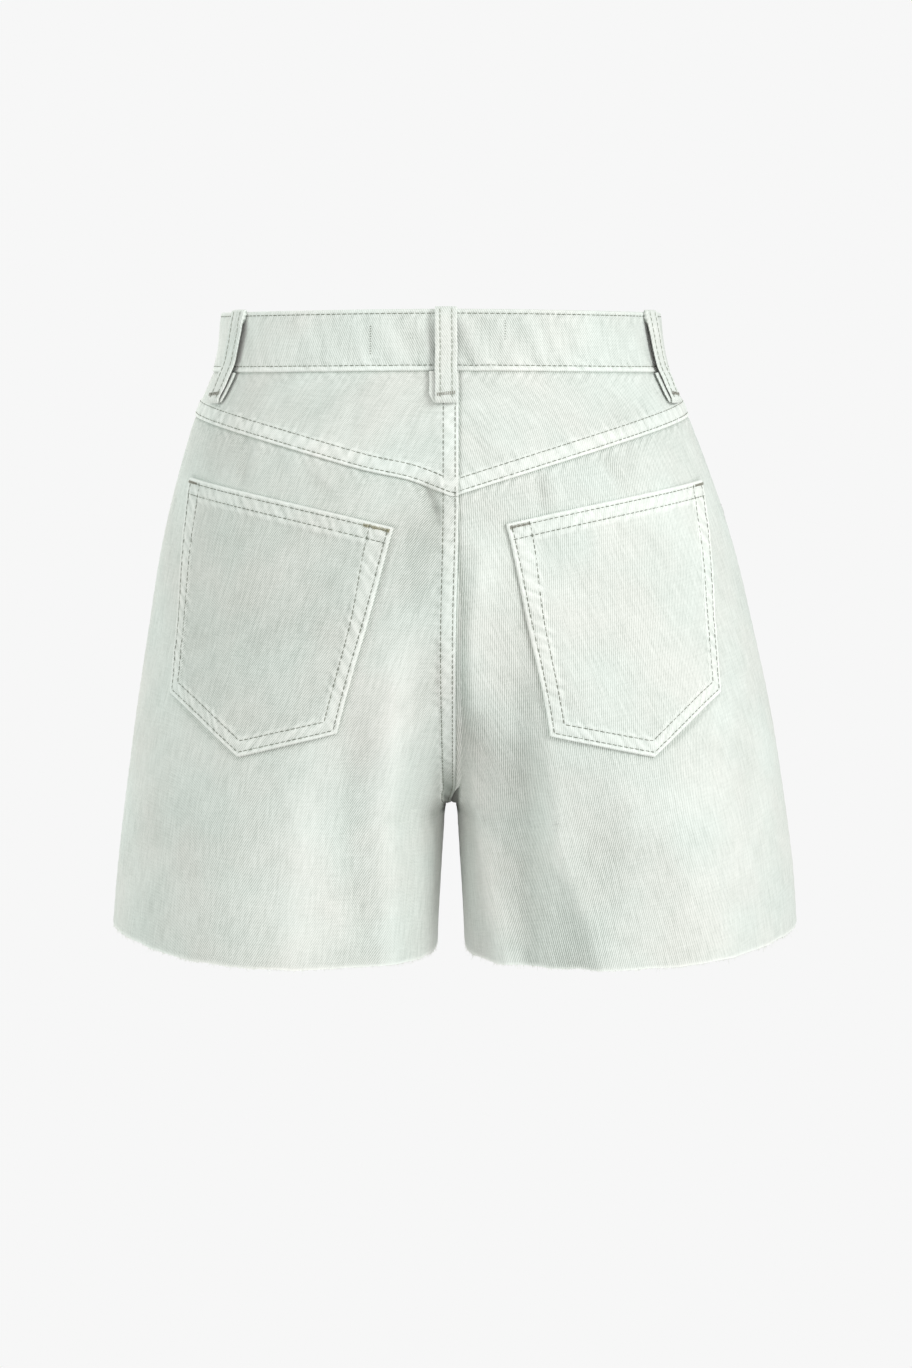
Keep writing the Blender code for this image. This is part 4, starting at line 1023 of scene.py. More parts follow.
for side, left in SIDES.items():
    quarter = QUARTERS[left, True]
    s, drop = panel_grid(
        quarter,
        lambda d: -quarter.sign * centre_lap(d),
        SEAM_STEPS,
        EDGE_STEPS,
        96,
        lambda share: waist_seam(share, True) + MEETING,
        lambda share: yoke_line(share, left),
        yoke_levels,
    )
    height, wear_and_shading = yoke_relief(quarter, s, drop)
    side_height, side_wear_and_shading = rolled(quarter.length(drop) - s, drop, 3.0 + left)
    under_band = puckers(drop - waist_seam(s / quarter.length(drop), True) + 9, s, 8.0 + left, width=12)
    height = height + side_height + 0.5 * under_band - TUCK * tucked(drop)
    # The yoke's top is painted darker under the band, a painted shadow.
    wear_and_shading = wear_and_shading + side_wear_and_shading + 0.4 * under_band - TUCK_SHADOW * tucked(drop)
    least = -quarter.sign * centre_lap(drop)
    yoke = shell(
        f"back_yoke_{side}_cloth",
        kept_in(quarter, quarter.place(s, drop, height), least),
        kept_in(quarter, quarter.place(s, drop, -DENIM + 0 * s), least),
        on_cut(quarter, s, drop, YOKE_GRAIN[left]),
        BACK_TONE[left] + YOKE_LIGHTER + quarter.bleached(s, drop) + wear_and_shading,
        outwards(quarter),
    )
    yoke.data.materials.append(denim)
    rows = []
    share = np.linspace(0.0, 1.0, 500)
    for row in ROW_DROPS:
        level = yoke_line(share, left) - row * yoke_lean(share, left)
        length = quarter.length(level)
        first = centre_lap(level) + 0.6
        if left:  # each row starts from the seat seam's own one
            first = -centre_lap(level) + (1.2 if row == ROW_DROPS[0] else 8.6)
        at = first + (length - 1.2 - first) * share
        level = yoke_line(at.clip(0) / length, left) - row * yoke_lean(at.clip(0) / length, left)
        rows.append(seam_row(quarter, at, level, yoke_relief))
        if left:
            level = np.linspace(waist_seam(0, True) + 1, yoke_line(0, left) + 0.5, 200)
            rows.append(seam_row(quarter, -centre_lap(level) + row, level, seat_seam, 0.08))
    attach(yoke, "root")
    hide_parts(f"back_yoke_{side}")
    width, length, area = YOKE_CUT[left]
    sewing(f"yoke_{side}_stitches", rows)

# ------------------------------------------------------------------------------ back pockets
# A patch of the same twill on each back panel, with a pointed lower edge. Its mouth is a turned hem
# and its other edges are folded under and sewn down with two rows. The second row leans away from the
# edge towards the mouth. A bartack holds each upper corner.
POCKET_CORNERS = ("top_outer", "top_inner", "bottom_inner", "tip", "bottom_outer")
POCKET_RISE = 2.4  # how far its mouth and outer lower edge bow out
POCKET_LIFT = 0.12  # between the patch and the panel
POCKET_HEM = 12.0
POCKET_TURNED = 0.75  # the turned edge adds this much
POCKET_FOLDED = 10.2  # width of the turned edge
POCKET_ROWS = (2.7, 8.8)
POCKET_HEM_ROWS = (2.7, 9.2)
POCKET_FLARE = 4.8  # the second row is this much farther from the edge at the mouth
POCKET_CUT = {True: (0.155, 0.145, 0.0197), False: (0.153, 0.142, 0.0192)}
# The wearer's left patch is painted darker than the right one: painted shade on the side away from the key
# light.
POCKET_TONE = {True: 0.40, False: 0.53}


class Pocket:
    """One patch. t runs across it from its inner edge and v down it from its mouth, both from 0 to 1."""

    def __init__(self, left):
        self.left, self.quarter = left, QUARTERS[left, True]
        self.corner = {name: np.array(at, float) for name, at in zip(POCKET_CORNERS, POCKETS[left])}
        c = self.corner
        top = c["top_inner"] - c["top_outer"]
        inner, outer = c["bottom_inner"] - c["tip"], c["tip"] - c["bottom_outer"]
        self.top_width, self.inner_half, self.outer_half = top[0], inner[0], outer[0]
        self.top_cos = top[0] / np.hypot(*top)
        self.inner_cos, self.outer_cos = inner[0] / np.hypot(*inner), outer[0] / np.hypot(*outer)

    def spot(self, t, v):
        """u and drop of a place on the patch."""
        c, rise = self.corner, np.array([0.0, POCKET_RISE])
        t, v = np.broadcast_arrays(t, v)
        t, v = t[..., None], v[..., None]
        top = c["top_inner"] * (1 - t) + c["top_outer"] * t - rise * 4 * t * (1 - t)
        to_tip = c["bottom_inner"] * (1 - 2 * t) + c["tip"] * 2 * t
        from_tip = c["tip"] * (2 - 2 * t) + c["bottom_outer"] * (2 * t - 1)
        from_tip = from_tip - rise * 4 * (2 * t - 1) * (2 - 2 * t)
        place = top * (1 - v) + np.where(t <= 0.5, to_tip, from_tip) * v
        return place[..., 0], place[..., 1]

    def widths(self, v):
        """Millimetres for one unit of t, near the inner and near the outer edge."""
        top = self.top_width * (1 - v)
        return top + 2 * self.inner_half * v, top + 2 * self.outer_half * v

    def heights(self, t):
        """Millimetres for one unit of v, square to the mouth and square to the lower edge."""
        down = self.spot(t, 1.0)[1] - self.spot(t, 0.0)[1]
        return down * self.top_cos, down * np.where(t <= 0.5, self.inner_cos, self.outer_cos)

    def edges(self, t, v):
        """Distances from the inner, outer, top and lower edges."""
        inner, outer = self.widths(v)
        top, lower = self.heights(t)
        return t * inner, (1 - t) * outer, v * top, (1 - v) * lower

    def flare(self, from_top):
        """Distance of the second row from a side edge."""
        return POCKET_ROWS[1] + POCKET_FLARE * close_to(from_top, 42)

    def relief(self, t, v):
        """(height, wear) of the patch."""
        inner, outer, top, lower = self.edges(t, v)
        side = np.minimum(inner, outer)
        edge = np.minimum(side, lower)
        turned = 1 - ease((edge - POCKET_FOLDED) / 1.6)
        turned = np.maximum(turned, 1 - ease((side - self.flare(top) - 1.2) / 1.6))
        hem = 1 - ease((top - POCKET_HEM) / 1.2)
        height = DENIM + POCKET_TURNED * np.maximum(turned, hem) + 0.25 * turned * hem
        nearest = np.minimum(edge, top)
        height = height * (0.30 + 0.70 * rounded(nearest, EDGE_ROUND))
        drawn_in = grooves(top, POCKET_HEM_ROWS) * ease((side - 2) / 1.5)
        for row, far in ((POCKET_ROWS[0], POCKET_ROWS[0]), (POCKET_ROWS[1], self.flare(top))):
            sides = close_to(side - far, GROOVE_WIDTH) * ease(lower - row + 1)
            base = close_to(lower - row, GROOVE_WIDTH) * ease(side - row + 1)
            drawn_in = drawn_in - GROOVE * np.maximum(sides, base) * ease(top - POCKET_HEM_ROWS[0])
        seed, mirror = 3.0 + 4.0 * self.left, self.quarter.sign
        rope = puckers(side, top * np.where(inner < outer, mirror, -mirror), seed, 0.8, 10.0) * (side < 18)
        rope_low = puckers(lower, side, seed + 1, 0.8, 9.0) * (side > 8)
        rope_top = puckers(top, t * self.top_width, seed + 2, 0.8, 10.0)
        rope = np.where(top < np.minimum(side, lower), rope_top, np.where(side < lower, rope, rope_low))
        rope = rope * ease(nearest / 1.5)
        light = 0.20 * close_to(nearest - 0.9, 1) + 0.16 * np.maximum(turned, hem)
        return height + drawn_in + rope, light + 0.55 * rope + 0.25 * drawn_in

    def line(self, t, v, lift=0.05):
        """A line over the patch, for stitches."""
        u, drop = self.spot(t, v)
        s = self.quarter.length(drop) - u
        return run_of(self.quarter, s, drop, POCKET_LIFT + self.relief(t, v)[0] + lift)

    def row(self, far, flared):
        """A row of stitches round the sides and the point, from the inner upper corner to the outer one."""
        v = np.linspace(0.0, 1.0, 200)
        top, _ = self.heights(0.0)
        start = 1.0 if flared else POCKET_HEM_ROWS[0]
        away = self.flare(v * top) if flared else np.full(200, far)
        inner, outer = self.widths(v)
        v_end_in = 1 - far / self.heights(far / inner[-1])[1]
        v_end_out = 1 - far / self.heights(1 - far / outer[-1])[1]
        v_in = start / top + (v_end_in - start / top) * v
        v_out = start / top + (v_end_out - start / top) * v[::-1]
        t_in = np.interp(v_in, v, away / inner)
        t_out = 1 - np.interp(v_out, v, away / outer)
        t_low = np.linspace(t_in[-1], 0.5, 100)[1:]
        t_high = np.linspace(0.5, t_out[0], 100)[1:-1]
        v_low, v_high = 1 - far / self.heights(t_low)[1], 1 - far / self.heights(t_high)[1]
        v_high[0] = v_low[-1] = (v_low[-1] + v_high[0]) / 2
        parts = [(t_in, v_in), (t_low, v_low), (t_high, v_high), (t_out, v_out)]
        return [stitched(self.line(t, w)) for t, w in parts]


# Columns and rows of the patch's mesh: these distances from its edges, and evenly between them.
POCKET_STEPS = np.array(
    [0, 0.3, 0.7, 1.2, 2.0, 2.7, 3.4, 4.6, 6.0, 7.4, 8.1, 8.8, 9.5, 10.4, 11.6, 13.0, 15.0]
)
POCKET_BETWEEN = np.linspace(0.012, 0.812, 66) / 0.824

for side, left in SIDES.items():
    pocket = Pocket(left)
    quarter = pocket.quarter
    count = len(POCKET_STEPS)
    whole = 2 * count + len(POCKET_BETWEEN)
    t = np.tile(np.linspace(0, 1, whole), (whole, 1))
    v = t.T.copy()
    for _ in range(6):
        inner, outer = pocket.widths(v)
        steps, share = POCKET_STEPS[None, :], POCKET_BETWEEN[None, :]
        first, last = steps / inner[:, :count], 1 - steps[:, ::-1] / outer[:, -count:]
        middle = first[:, -1:] * (1 - share) + last[:, :1] * share
        t = np.concatenate([first, middle, last], axis=1)
        top, lower = pocket.heights(t)
        steps, share = steps.T, share.T
        first, last = steps / top[:count], 1 - steps[::-1] / lower[-count:]
        middle = first[-1:] * (1 - share) + last[:1] * share
        v = np.concatenate([first, middle, last], axis=0)
    u, drop = pocket.spot(t, v)
    s = quarter.length(drop) - u
    height, wear_and_shading = pocket.relief(t, v)
    patch = shell(
        f"back_pocket_{side}_cloth",
        quarter.place(s, drop, POCKET_LIFT + height),
        quarter.place(s, drop, POCKET_LIFT + 0 * s),
        on_cut(quarter, s, drop, BACK_GRAIN[left]),
        POCKET_TONE[left] + quarter.bleached(s, drop) + wear_and_shading,
        not outwards(quarter),
    )
    patch.data.materials.append(denim)
    rows = pocket.row(POCKET_ROWS[0], False) + pocket.row(POCKET_ROWS[1], True)
    t = np.linspace(1.5 / pocket.top_width, 1 - 1.5 / pocket.top_width, 200)
    rows += [stitched(pocket.line(t, row / pocket.heights(t)[0])) for row in POCKET_HEM_ROWS]
    tacks = []
    for low, high in ((1.5, 18.0 if left else 13.5), (pocket.top_width - 10.5, pocket.top_width - 1.0)):
        t = np.linspace(low, high, 40) / pocket.top_width
        tacks.append(tacked(pocket.line(t, 2.4 / pocket.heights(t)[0], 0.15), 2.6 if low < 2 else 1.9))
    sewn = [
        sewing(f"pocket_{side}_stitches", rows),
        sewing(f"pocket_{side}_inner_tack", tacks[:1], khaki_thread if left else tack_thread),
        sewing(f"pocket_{side}_outer_tack", tacks[1:], tack_thread),
    ]
    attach(patch, "root")
    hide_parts(f"back_pocket_{side}")
    width, length, area = POCKET_CUT[left]

# ------------------------------------------------------------------------------ front panels
# Two pieces of the same twill. Each is scooped away at the top for the front pocket, its mouth turned
# and sewn with two rows. The wearer's left front is doubled for the fly and laps over the right, and a
# curved double row holds the fly's facing behind it.
FLY_LAP = 3.0
FLY_SHARE = 0.16  # of the panel's width that the fly doubles
FLY_END_DROP = 165.0
FLY_ROWS = (27.0, 33.0)
FLY_ROW_END = 152.0
FLY_GROOVE = 0.3
CENTRE_ROWS = (1.8, 7.6)  # of the centre seam below the fly
SCOOP_START = 0.50
SCOOP_DROP = 78.0
SCOOP_ROWS = (2.0, 8.2)
SCOOP_HEM = 9.5
FRONT_CUT = {True: (0.320, 0.345, 0.0841), False: (0.324, 0.345, 0.0814)}
FRONT_TONE = 0.48
FRONT_GRAIN = 8.0


def fly_lap(drop):
    """How far the wearer's left front runs past the centre front."""
    return FLY_LAP * (1 - ease((drop - FLY_END_DROP + 35) / 60))


def scoop_line(share):
    """Drop of the front pocket's mouth, a quarter of an ellipse from the band to the side seam."""
    along = np.clip((1 - share) / (1 - SCOOP_START), 0, 1)
    return waist_seam(share, False) + SCOOP_DROP * np.sqrt(1 - along**2)


def scoop_distance(share, drop, length):
    """Distance from the pocket's mouth, square to it, inside the front panel."""
    across = (1 - share) * length
    wide, high = (1 - SCOOP_START) * length, SCOOP_DROP
    down = drop - waist_seam(share, False)
    reach = np.hypot(across / wide, down / high)
    steep = np.hypot(across / wide**2, down / high**2) / np.maximum(reach, 1e-6)
    return (reach - 1) / np.maximum(steep, 1e-6)


def front_relief(quarter, s, drop):
    """(height, wear) of a front panel: the fly or the plain centre seam, and the pocket's turned mouth."""
    share = np.clip(s / quarter.length(drop), 0, 1)
    from_edge = s + quarter.sign * fly_lap(drop)
    if quarter.left:
        doubled = (1 - ease((share - FLY_SHARE) / 0.03)) * (1 - ease((drop - FLY_END_DROP + 15) / 30))
        down = -TURNED_IN * (1 - doubled) * close_to(from_edge, EDGE_ROUND)
        height = LAP_PROUD * doubled * rounded(from_edge, EDGE_ROUND) + down
        wear_and_shading = 0.18 * doubled * close_to(from_edge - 0.9, 1) - 0.1 * (down < -0.2)
        for row in FLY_ROWS:
            line = close_to(s - fly_row(row, drop), GROOVE_WIDTH) * (drop < FLY_ROW_END)
            height, wear_and_shading = height - FLY_GROOVE * line, wear_and_shading - 0.06 * line
        pull = puckers(np.abs(s - 30), drop, 9.0, width=6) * (drop < FLY_ROW_END) * 0.6
        height, wear_and_shading = height + pull, wear_and_shading + 0.5 * pull
    else:
        height, wear_and_shading = rolled(from_edge, drop, 6.0)
    mouth = scoop_distance(share, drop, quarter.length(drop))
    rim = LAP_PROUD * 0.8 * rounded(mouth, EDGE_ROUND) * (1 - ease((mouth - SCOOP_HEM) / 1.2))
    rope = puckers(mouth, s - drop, 4.0 + quarter.left, width=8.5) * (mouth < 20)
    rows = grooves(mouth, SCOOP_ROWS)
    wear_and_shading = wear_and_shading + 0.5 * rope + 0.2 * rows + 0.18 * close_to(mouth - 0.9, 1)
    return height + rim + rope + rows, wear_and_shading


def fly_row(far, drop):
    """s of the fly's stitched curve at a level: straight down, then in to the centre."""
    bend = np.clip((drop - (FLY_ROW_END - far * 1.35)) / (far * 1.35), 0, 1)
    return -2.0 + (far + 2.0) * np.sqrt(np.maximum(1 - bend**2, 0))


# Columns and rows of the mesh: closer together at the fly's edge, round the mouth and at the hem.
SCOOP_TURNS = np.linspace(0, 1, 40)[1:] * math.pi / 2
FRONT_COLUMNS = np.concatenate(
    [
        [0, 0.0012, 0.003, 0.0055, 0.009],
        np.linspace(0.0, SCOOP_START, 62)[2:],
        1 - (1 - SCOOP_START) * np.cos(SCOOP_TURNS) ** 1.15,
    ]
)
MOUTH_STEPS = np.array([0, 0.4, 0.9, 1.5, 2.1, 2.8, 4.2, 5.8, 7.2, 8.2, 9.2, 10.2, 11.4]) / PANEL_LENGTH
FRONT_ROWS = np.concatenate([MOUTH_STEPS, np.linspace(0.05, 0.992, 132), 1 - CUT_SHARE[::-1]])

for side, left in SIDES.items():
    quarter = QUARTERS[left, False]
    share = FRONT_COLUMNS
    drop = round_crotch(FRONT_ROWS)(scoop_line(share) + MEETING, hem_line(share, left + 21.0))
    lap = -quarter.sign * fly_lap(drop)
    length = quarter.length(drop)
    s = lap + (length - MEETING / 2 - lap) * share + quarter.sudden(drop) * given(share)
    height, wear_and_shading = front_relief(quarter, s, drop)
    side_height, side_wear_and_shading = rolled(quarter.length(drop) - s, drop, 1.0 + left)
    height = height + side_height - RAW_THIN * raw_edge(drop)
    panel = shell(
        f"front_panel_{side}_cloth",
        kept_in(quarter, quarter.place(s, drop, height), lap),
        kept_in(quarter, quarter.place(s, drop, -DENIM + RAW_THIN * raw_edge(drop)), lap),
        on_cut(quarter, s, drop, quarter.sign * FRONT_GRAIN),
        FRONT_TONE + quarter.bleached(s, drop) + wear_and_shading + side_wear_and_shading + RAW_LIGHT * raw_edge(drop),
        outwards(quarter),
    )
    panel.data.materials.append(denim)
    rows = []
    turn = np.linspace(0.02, math.pi / 2, 300)
    for row in SCOOP_ROWS:
        across = 1 - (1 - SCOOP_START) * np.cos(turn)
        level = waist_seam(across, False) + SCOOP_DROP * np.sin(turn)
        length = quarter.length(level)
        wide = (1 - SCOOP_START) * length
        square = np.stack([-np.cos(turn) / wide, np.sin(turn) / SCOOP_DROP])
        square = square / np.hypot(*square)
        at, level = across * length + square[0] * row, level + square[1] * row
        kept = level > waist_seam(at / length, False) + 0.5
        at, level = np.minimum(at, quarter.length(level) - 0.8)[kept], level[kept]
        rows.append(seam_row(quarter, at, level, front_relief))
    if left:
        level = FLY_ROW_END - (FLY_ROW_END - waist_seam(0, False) - 1) * np.linspace(1, 0, 400) ** 1.6
        rows += [seam_row(quarter, fly_row(row, level), level, front_relief) for row in FLY_ROWS]
        level = np.linspace(FLY_ROW_END + 4, CROTCH_DROP - 5, 300)
        rows += [seam_row(quarter, row - fly_lap(level), level, front_relief) for row in CENTRE_ROWS]
        level = np.linspace(FLY_ROW_END - 4, FLY_ROW_END + 6, 30)
        at = 0.5 + 0 * level
        rows.append(tacked(run_of(quarter, at, level, front_relief(quarter, at, level)[0] + 0.3), 2.4))
    ends = fray(f"front_hem_{side}_ends", quarter, 850, 21 + left)
    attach(panel, "root")
    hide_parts(f"front_panel_{side}")
    width, length, area = FRONT_CUT[left]
    sewing(f"front_{side}_stitches", rows)

# ------------------------------------------------------------------------------ pocket facings
# The piece of twill that shows in each front pocket's mouth. It is sewn in with the band and the side
# seam, and lies behind the mouth.
FACING_REACH = 16.0  # below the mouth
FACING_INNER = 0.09  # of the panel's width, beyond the mouth's inner end
FACING_THICK = 1.2
FACING_GRAIN = 4.0
FACING_DARKER = 0.05  # than the panel
POCKET_GAP = 0.45  # behind the front panel
FACING_CUT = {True: (0.118, 0.094, 0.0080), False: (0.114, 0.094, 0.0078)}

for side, left in SIDES.items():
    quarter = QUARTERS[left, False]
    share = 1 - (1 - SCOOP_START) * np.cos(np.linspace(0, math.pi / 2, 44))
    share = np.concatenate([[SCOOP_START - FACING_INNER, SCOOP_START - FACING_INNER / 2], share])
    mouth = scoop_line(share)
    top = waist_seam(share, False) + MEETING
    drop = top + (mouth + FACING_REACH - top) * np.linspace(0, 1, 46)[:, None]
    s = share * quarter.length(drop) - MEETING / 2
    clear = ease((mouth - drop - 2.0) / 22.0) * ease((share - SCOOP_START) / 0.12)
    out = (-DENIM - POCKET_GAP) * (1 - 0.85 * clear)
    side_height, side_wear_and_shading = rolled(quarter.length(drop) - s, drop, 1.0 + left)
    out = out + side_height * 0.6 * clear
    facing = shell(
        f"pocket_facing_{side}_cloth",
        quarter.place(s, drop, out),
        quarter.place(s, drop, out - FACING_THICK),
        on_cut(quarter, s, drop, FACING_GRAIN),
        FRONT_TONE - FACING_DARKER + side_wear_and_shading,
        outwards(quarter),
    )
    facing.data.materials.append(denim)
    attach(facing, "root")
    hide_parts(f"pocket_facing_{side}")
    width, length, area = FACING_CUT[left]

# ------------------------------------------------------------------------------ waistband
# One long strip of the twill folded double over the tops of the panels, edge-stitched at its top and
# its bottom. Its two ends lap at the centre front, where the upper one carries the buttonhole.
BAND_THICK = 2.8
BAND_MIDDLE = 20.0  # drop at which its length is measured
UNDER_LAP = 38.0  # how far the right end runs on behind the left one
BAND_ROWS = (2.6, 32.0)
BAND_GROOVE = 0.32
BAND_TONE = 0.50
BAND_STEPS = np.array(
    [0, 0.25, 0.6, 1.1, 1.8, 2.6, 3.4, 4.6, 6.2, 8, 10, 12.5, 15, 17.5, 20, 22.5, 25, 27]
    + [28.8, 30.2, 31.2, 32, 32.8, 33.6, 34.2, 34.6, 34.85, 35]
)


def band_relief(down, along, quarter, s):
    """(height, wear) of the band by the distance below its top edge."""
    up = BAND_HEIGHT - down
    height = -1.2 * (1 - rounded(down, 1.4)) - 0.8 * (1 - rounded(up, 0.9))
    rows = grooves(down, BAND_ROWS, BAND_GROOVE)
    rope = puckers(up, along, 12.0, 0.9, 4.0) + 0.6 * puckers(down, along, 13.0, 0.9, 4.0)
    # Slanting pulls across the band, stronger towards the middle of the back.
    strength = 0.12 + 0.46 * quarter.back * close_to(s, 62)
    pull = np.sin(2 * math.pi * (along - 0.45 * down) / 17.0 + 2.2 * wander(along, 61, 4.0))
    pull = pull * strength * ease(down / 7) * ease(up / 6) * (0.7 + 0.5 * wander(along, 43, 2.0))
    light = 0.16 * close_to(down - 0.9, 1) + 0.24 * np.exp(-((up - 1.2) ** 2) / 2.5)
    return height + rows + rope + pull, light + 0.5 * rope + 0.25 * (rows + pull)


def band_places():
    """(quarter, s, inset) of each place round the band, from its left end to its right end."""
    left_front, left_back = QUARTERS[LEFT_FRONT], QUARTERS[LEFT_BACK]
    right_back, right_front = QUARTERS[RIGHT_BACK], QUARTERS[RIGHT_FRONT]
    behind = BAND_THICK + POCKET_GAP
    end = -FLY_LAP + np.array([0, 0.3, 0.8, 1.5, 2.4])
    whole = {quarter: float(quarter.length(BAND_MIDDLE)) for quarter in QUARTERS.values()}
    return [
        *((left_front, s, 0.0) for s in [*end, *np.linspace(0.5, whole[left_front], 100)[:-1]]),
        *((left_back, s, 0.0) for s in np.linspace(whole[left_back], 0, 104)[:-1]),
        *((right_back, s, 0.0) for s in np.linspace(0, whole[right_back], 102)[:-1]),
        *(
            (right_front, s, behind * (1 - float(ease((s - 12) / 30))))
            for s in np.linspace(whole[right_front], 0, 96)[:-1]
        ),
        *((left_front, s, behind) for s in np.linspace(0, UNDER_LAP, 22)),
    ]


def on_band(quarter, s, down):
    """s and drop of a place that is down below the band's top, where s is measured along its middle."""
    share = max(0.0, s) / float(quarter.length(BAND_MIDDLE))
    drop = waist_top(share, quarter.back) + down
    return share * quarter.length(drop) + min(s, 0.0), drop


outer, inner, flat, wear_and_shading = [], [], [], []
along, before = 0.0, None
band_runs = []
for quarter, s, inset in band_places():
    down = BAND_STEPS
    at, drop = on_band(quarter, s, down)
    middle = quarter.bare(s, BAND_MIDDLE)
    along += 0.0 if before is None else float(np.linalg.norm(middle - before))
    before = middle
    height, light = band_relief(down, along, quarter, s)
    if quarter is QUARTERS[LEFT_FRONT] and not inset:
        height = height - 0.9 * (1 - rounded(s + FLY_LAP, 1.2))
    back_trim = 0.9 * close_to(down, 0.8)
    outer.append(quarter.place(at, drop, LAP_PROUD - inset + height))
    inner.append(quarter.place(at, drop, LAP_PROUD - inset - BAND_THICK + back_trim))
    flat.append(np.stack([-along + 0 * down, -down], axis=1))
    # Painted light: the band over the wearer's left back is painted a little lighter.
    wear_and_shading.append(BAND_TONE + 0.08 * (quarter is QUARTERS[LEFT_BACK]) * float(ease((s - 10) / 40)) + light)
    band_runs.append((quarter, s, inset, along))
band = shell("waistband_cloth", *(np.array(part) for part in (outer, inner, flat, wear_and_shading)), True)
band.data.materials.append(denim)


def band_line(down):
    """A level line round the part of the band that isn't covered, at a distance below its top."""
    points, normals = [], []
    for quarter, s, inset, along in band_runs:
        if inset >= 0.2:
            continue
        at, drop = on_band(quarter, s, down)
        height = band_relief(np.array(down), along, quarter, s)[0]
        points.append(quarter.place(at, drop, LAP_PROUD - inset + height + 0.05))
        normals.append(quarter.normal(at, drop))
    return np.array(points), np.array(normals)


def band_mark(quarter, s, top, bottom):
    """A short upright row of small stitches on the band."""
    down = np.linspace(top, bottom, 30)
    drop = waist_top(s / quarter.length(BAND_MIDDLE), quarter.back) + down
    return run_of(quarter, s + 0 * down, drop, LAP_PROUD + band_relief(down, 0.0, quarter, 200.0)[0] + 0.05)


rows = [stitched(band_line(row)) for row in BAND_ROWS]
rows.append(stitched(band_mark(QUARTERS[LEFT_BACK], 46.0, 9, 26), 1.4, 0.5))
rows.append(stitched(band_mark(QUARTERS[RIGHT_BACK], 31.0, 6, 18), 1.4, 0.5))
rows.append(stitched(band_mark(QUARTERS[LEFT_FRONT], -1.0, 3, 32)))
# The buttonhole: a slot worked with close thread, lying level on the upper end of the band.
HOLE_DROP = float(waist_top(0.1, False)) + BAND_HEIGHT / 2
HOLE_PITCH = 0.55
for lift in (-1.5, 1.5):
    at = np.linspace(4.5, 21.0, 60)
    hole = run_of(QUARTERS[LEFT_FRONT], at, HOLE_DROP + lift + 0 * at, LAP_PROUD + 0.15)
    rows.append(tacked(hole, 1.7, HOLE_PITCH))
level = np.linspace(HOLE_DROP - 2.2, HOLE_DROP + 2.2, 30)
rows.append(tacked(run_of(QUARTERS[LEFT_FRONT], 4.0 + 0 * level, level, LAP_PROUD + 0.2), 1.8, HOLE_PITCH))
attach(band, "root")
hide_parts("waistband")
sewing("waistband_stitches", rows)

# ------------------------------------------------------------------------------ belt loops
# Five narrow straps of twill folded in three, with two rows of stitches down each. The upper end is
# turned in on the band's top edge and tacked. The lower end is turned under below the band and tacked.
LOOP_WIDTH = 12.5
LOOP_THICK = 1.7
LOOP_BOW = 2.1  # how far it stands off the band
LOOP_TURN_UP = 37.0  # where its end is turned under, below the band's top
LOOP_END = 54.0
LOOP_ROW = 3.3  # each row's distance from the middle
LOOP_TACK = 49.2
LOOP_GROOVE = 0.26
LOOP_TONE = 0.58
# How light the strap's underside is painted: darker than its face, a painted shade.
LOOP_UNDERSIDE_SHADE = 0.3
# Each loop's quarter, the s or the u of its middle, and how far its turned end has slipped sideways.
LOOPS = {
    "belt_loop_centre_back": (LEFT_BACK, "s", 2.6, 3.4),
    "belt_loop_side_left": (LEFT_BACK, "u", 44.5, -1.5),
    "belt_loop_side_right": (RIGHT_BACK, "u", 36.5, -1.6),
    "belt_loop_front_left": (LEFT_FRONT, "s", 60.0, 0.6),
    "belt_loop_front_right": (RIGHT_FRONT, "s", 58.0, -0.5),
}
LOOP_COLUMNS = np.array([0, 0.25, 0.6, 1.1, 1.8, 2.4, 2.95, 3.5, 4.6, 6.25])
LOOP_COLUMNS = np.concatenate([LOOP_COLUMNS, (LOOP_WIDTH - LOOP_COLUMNS)[-2::-1]]) - LOOP_WIDTH / 2

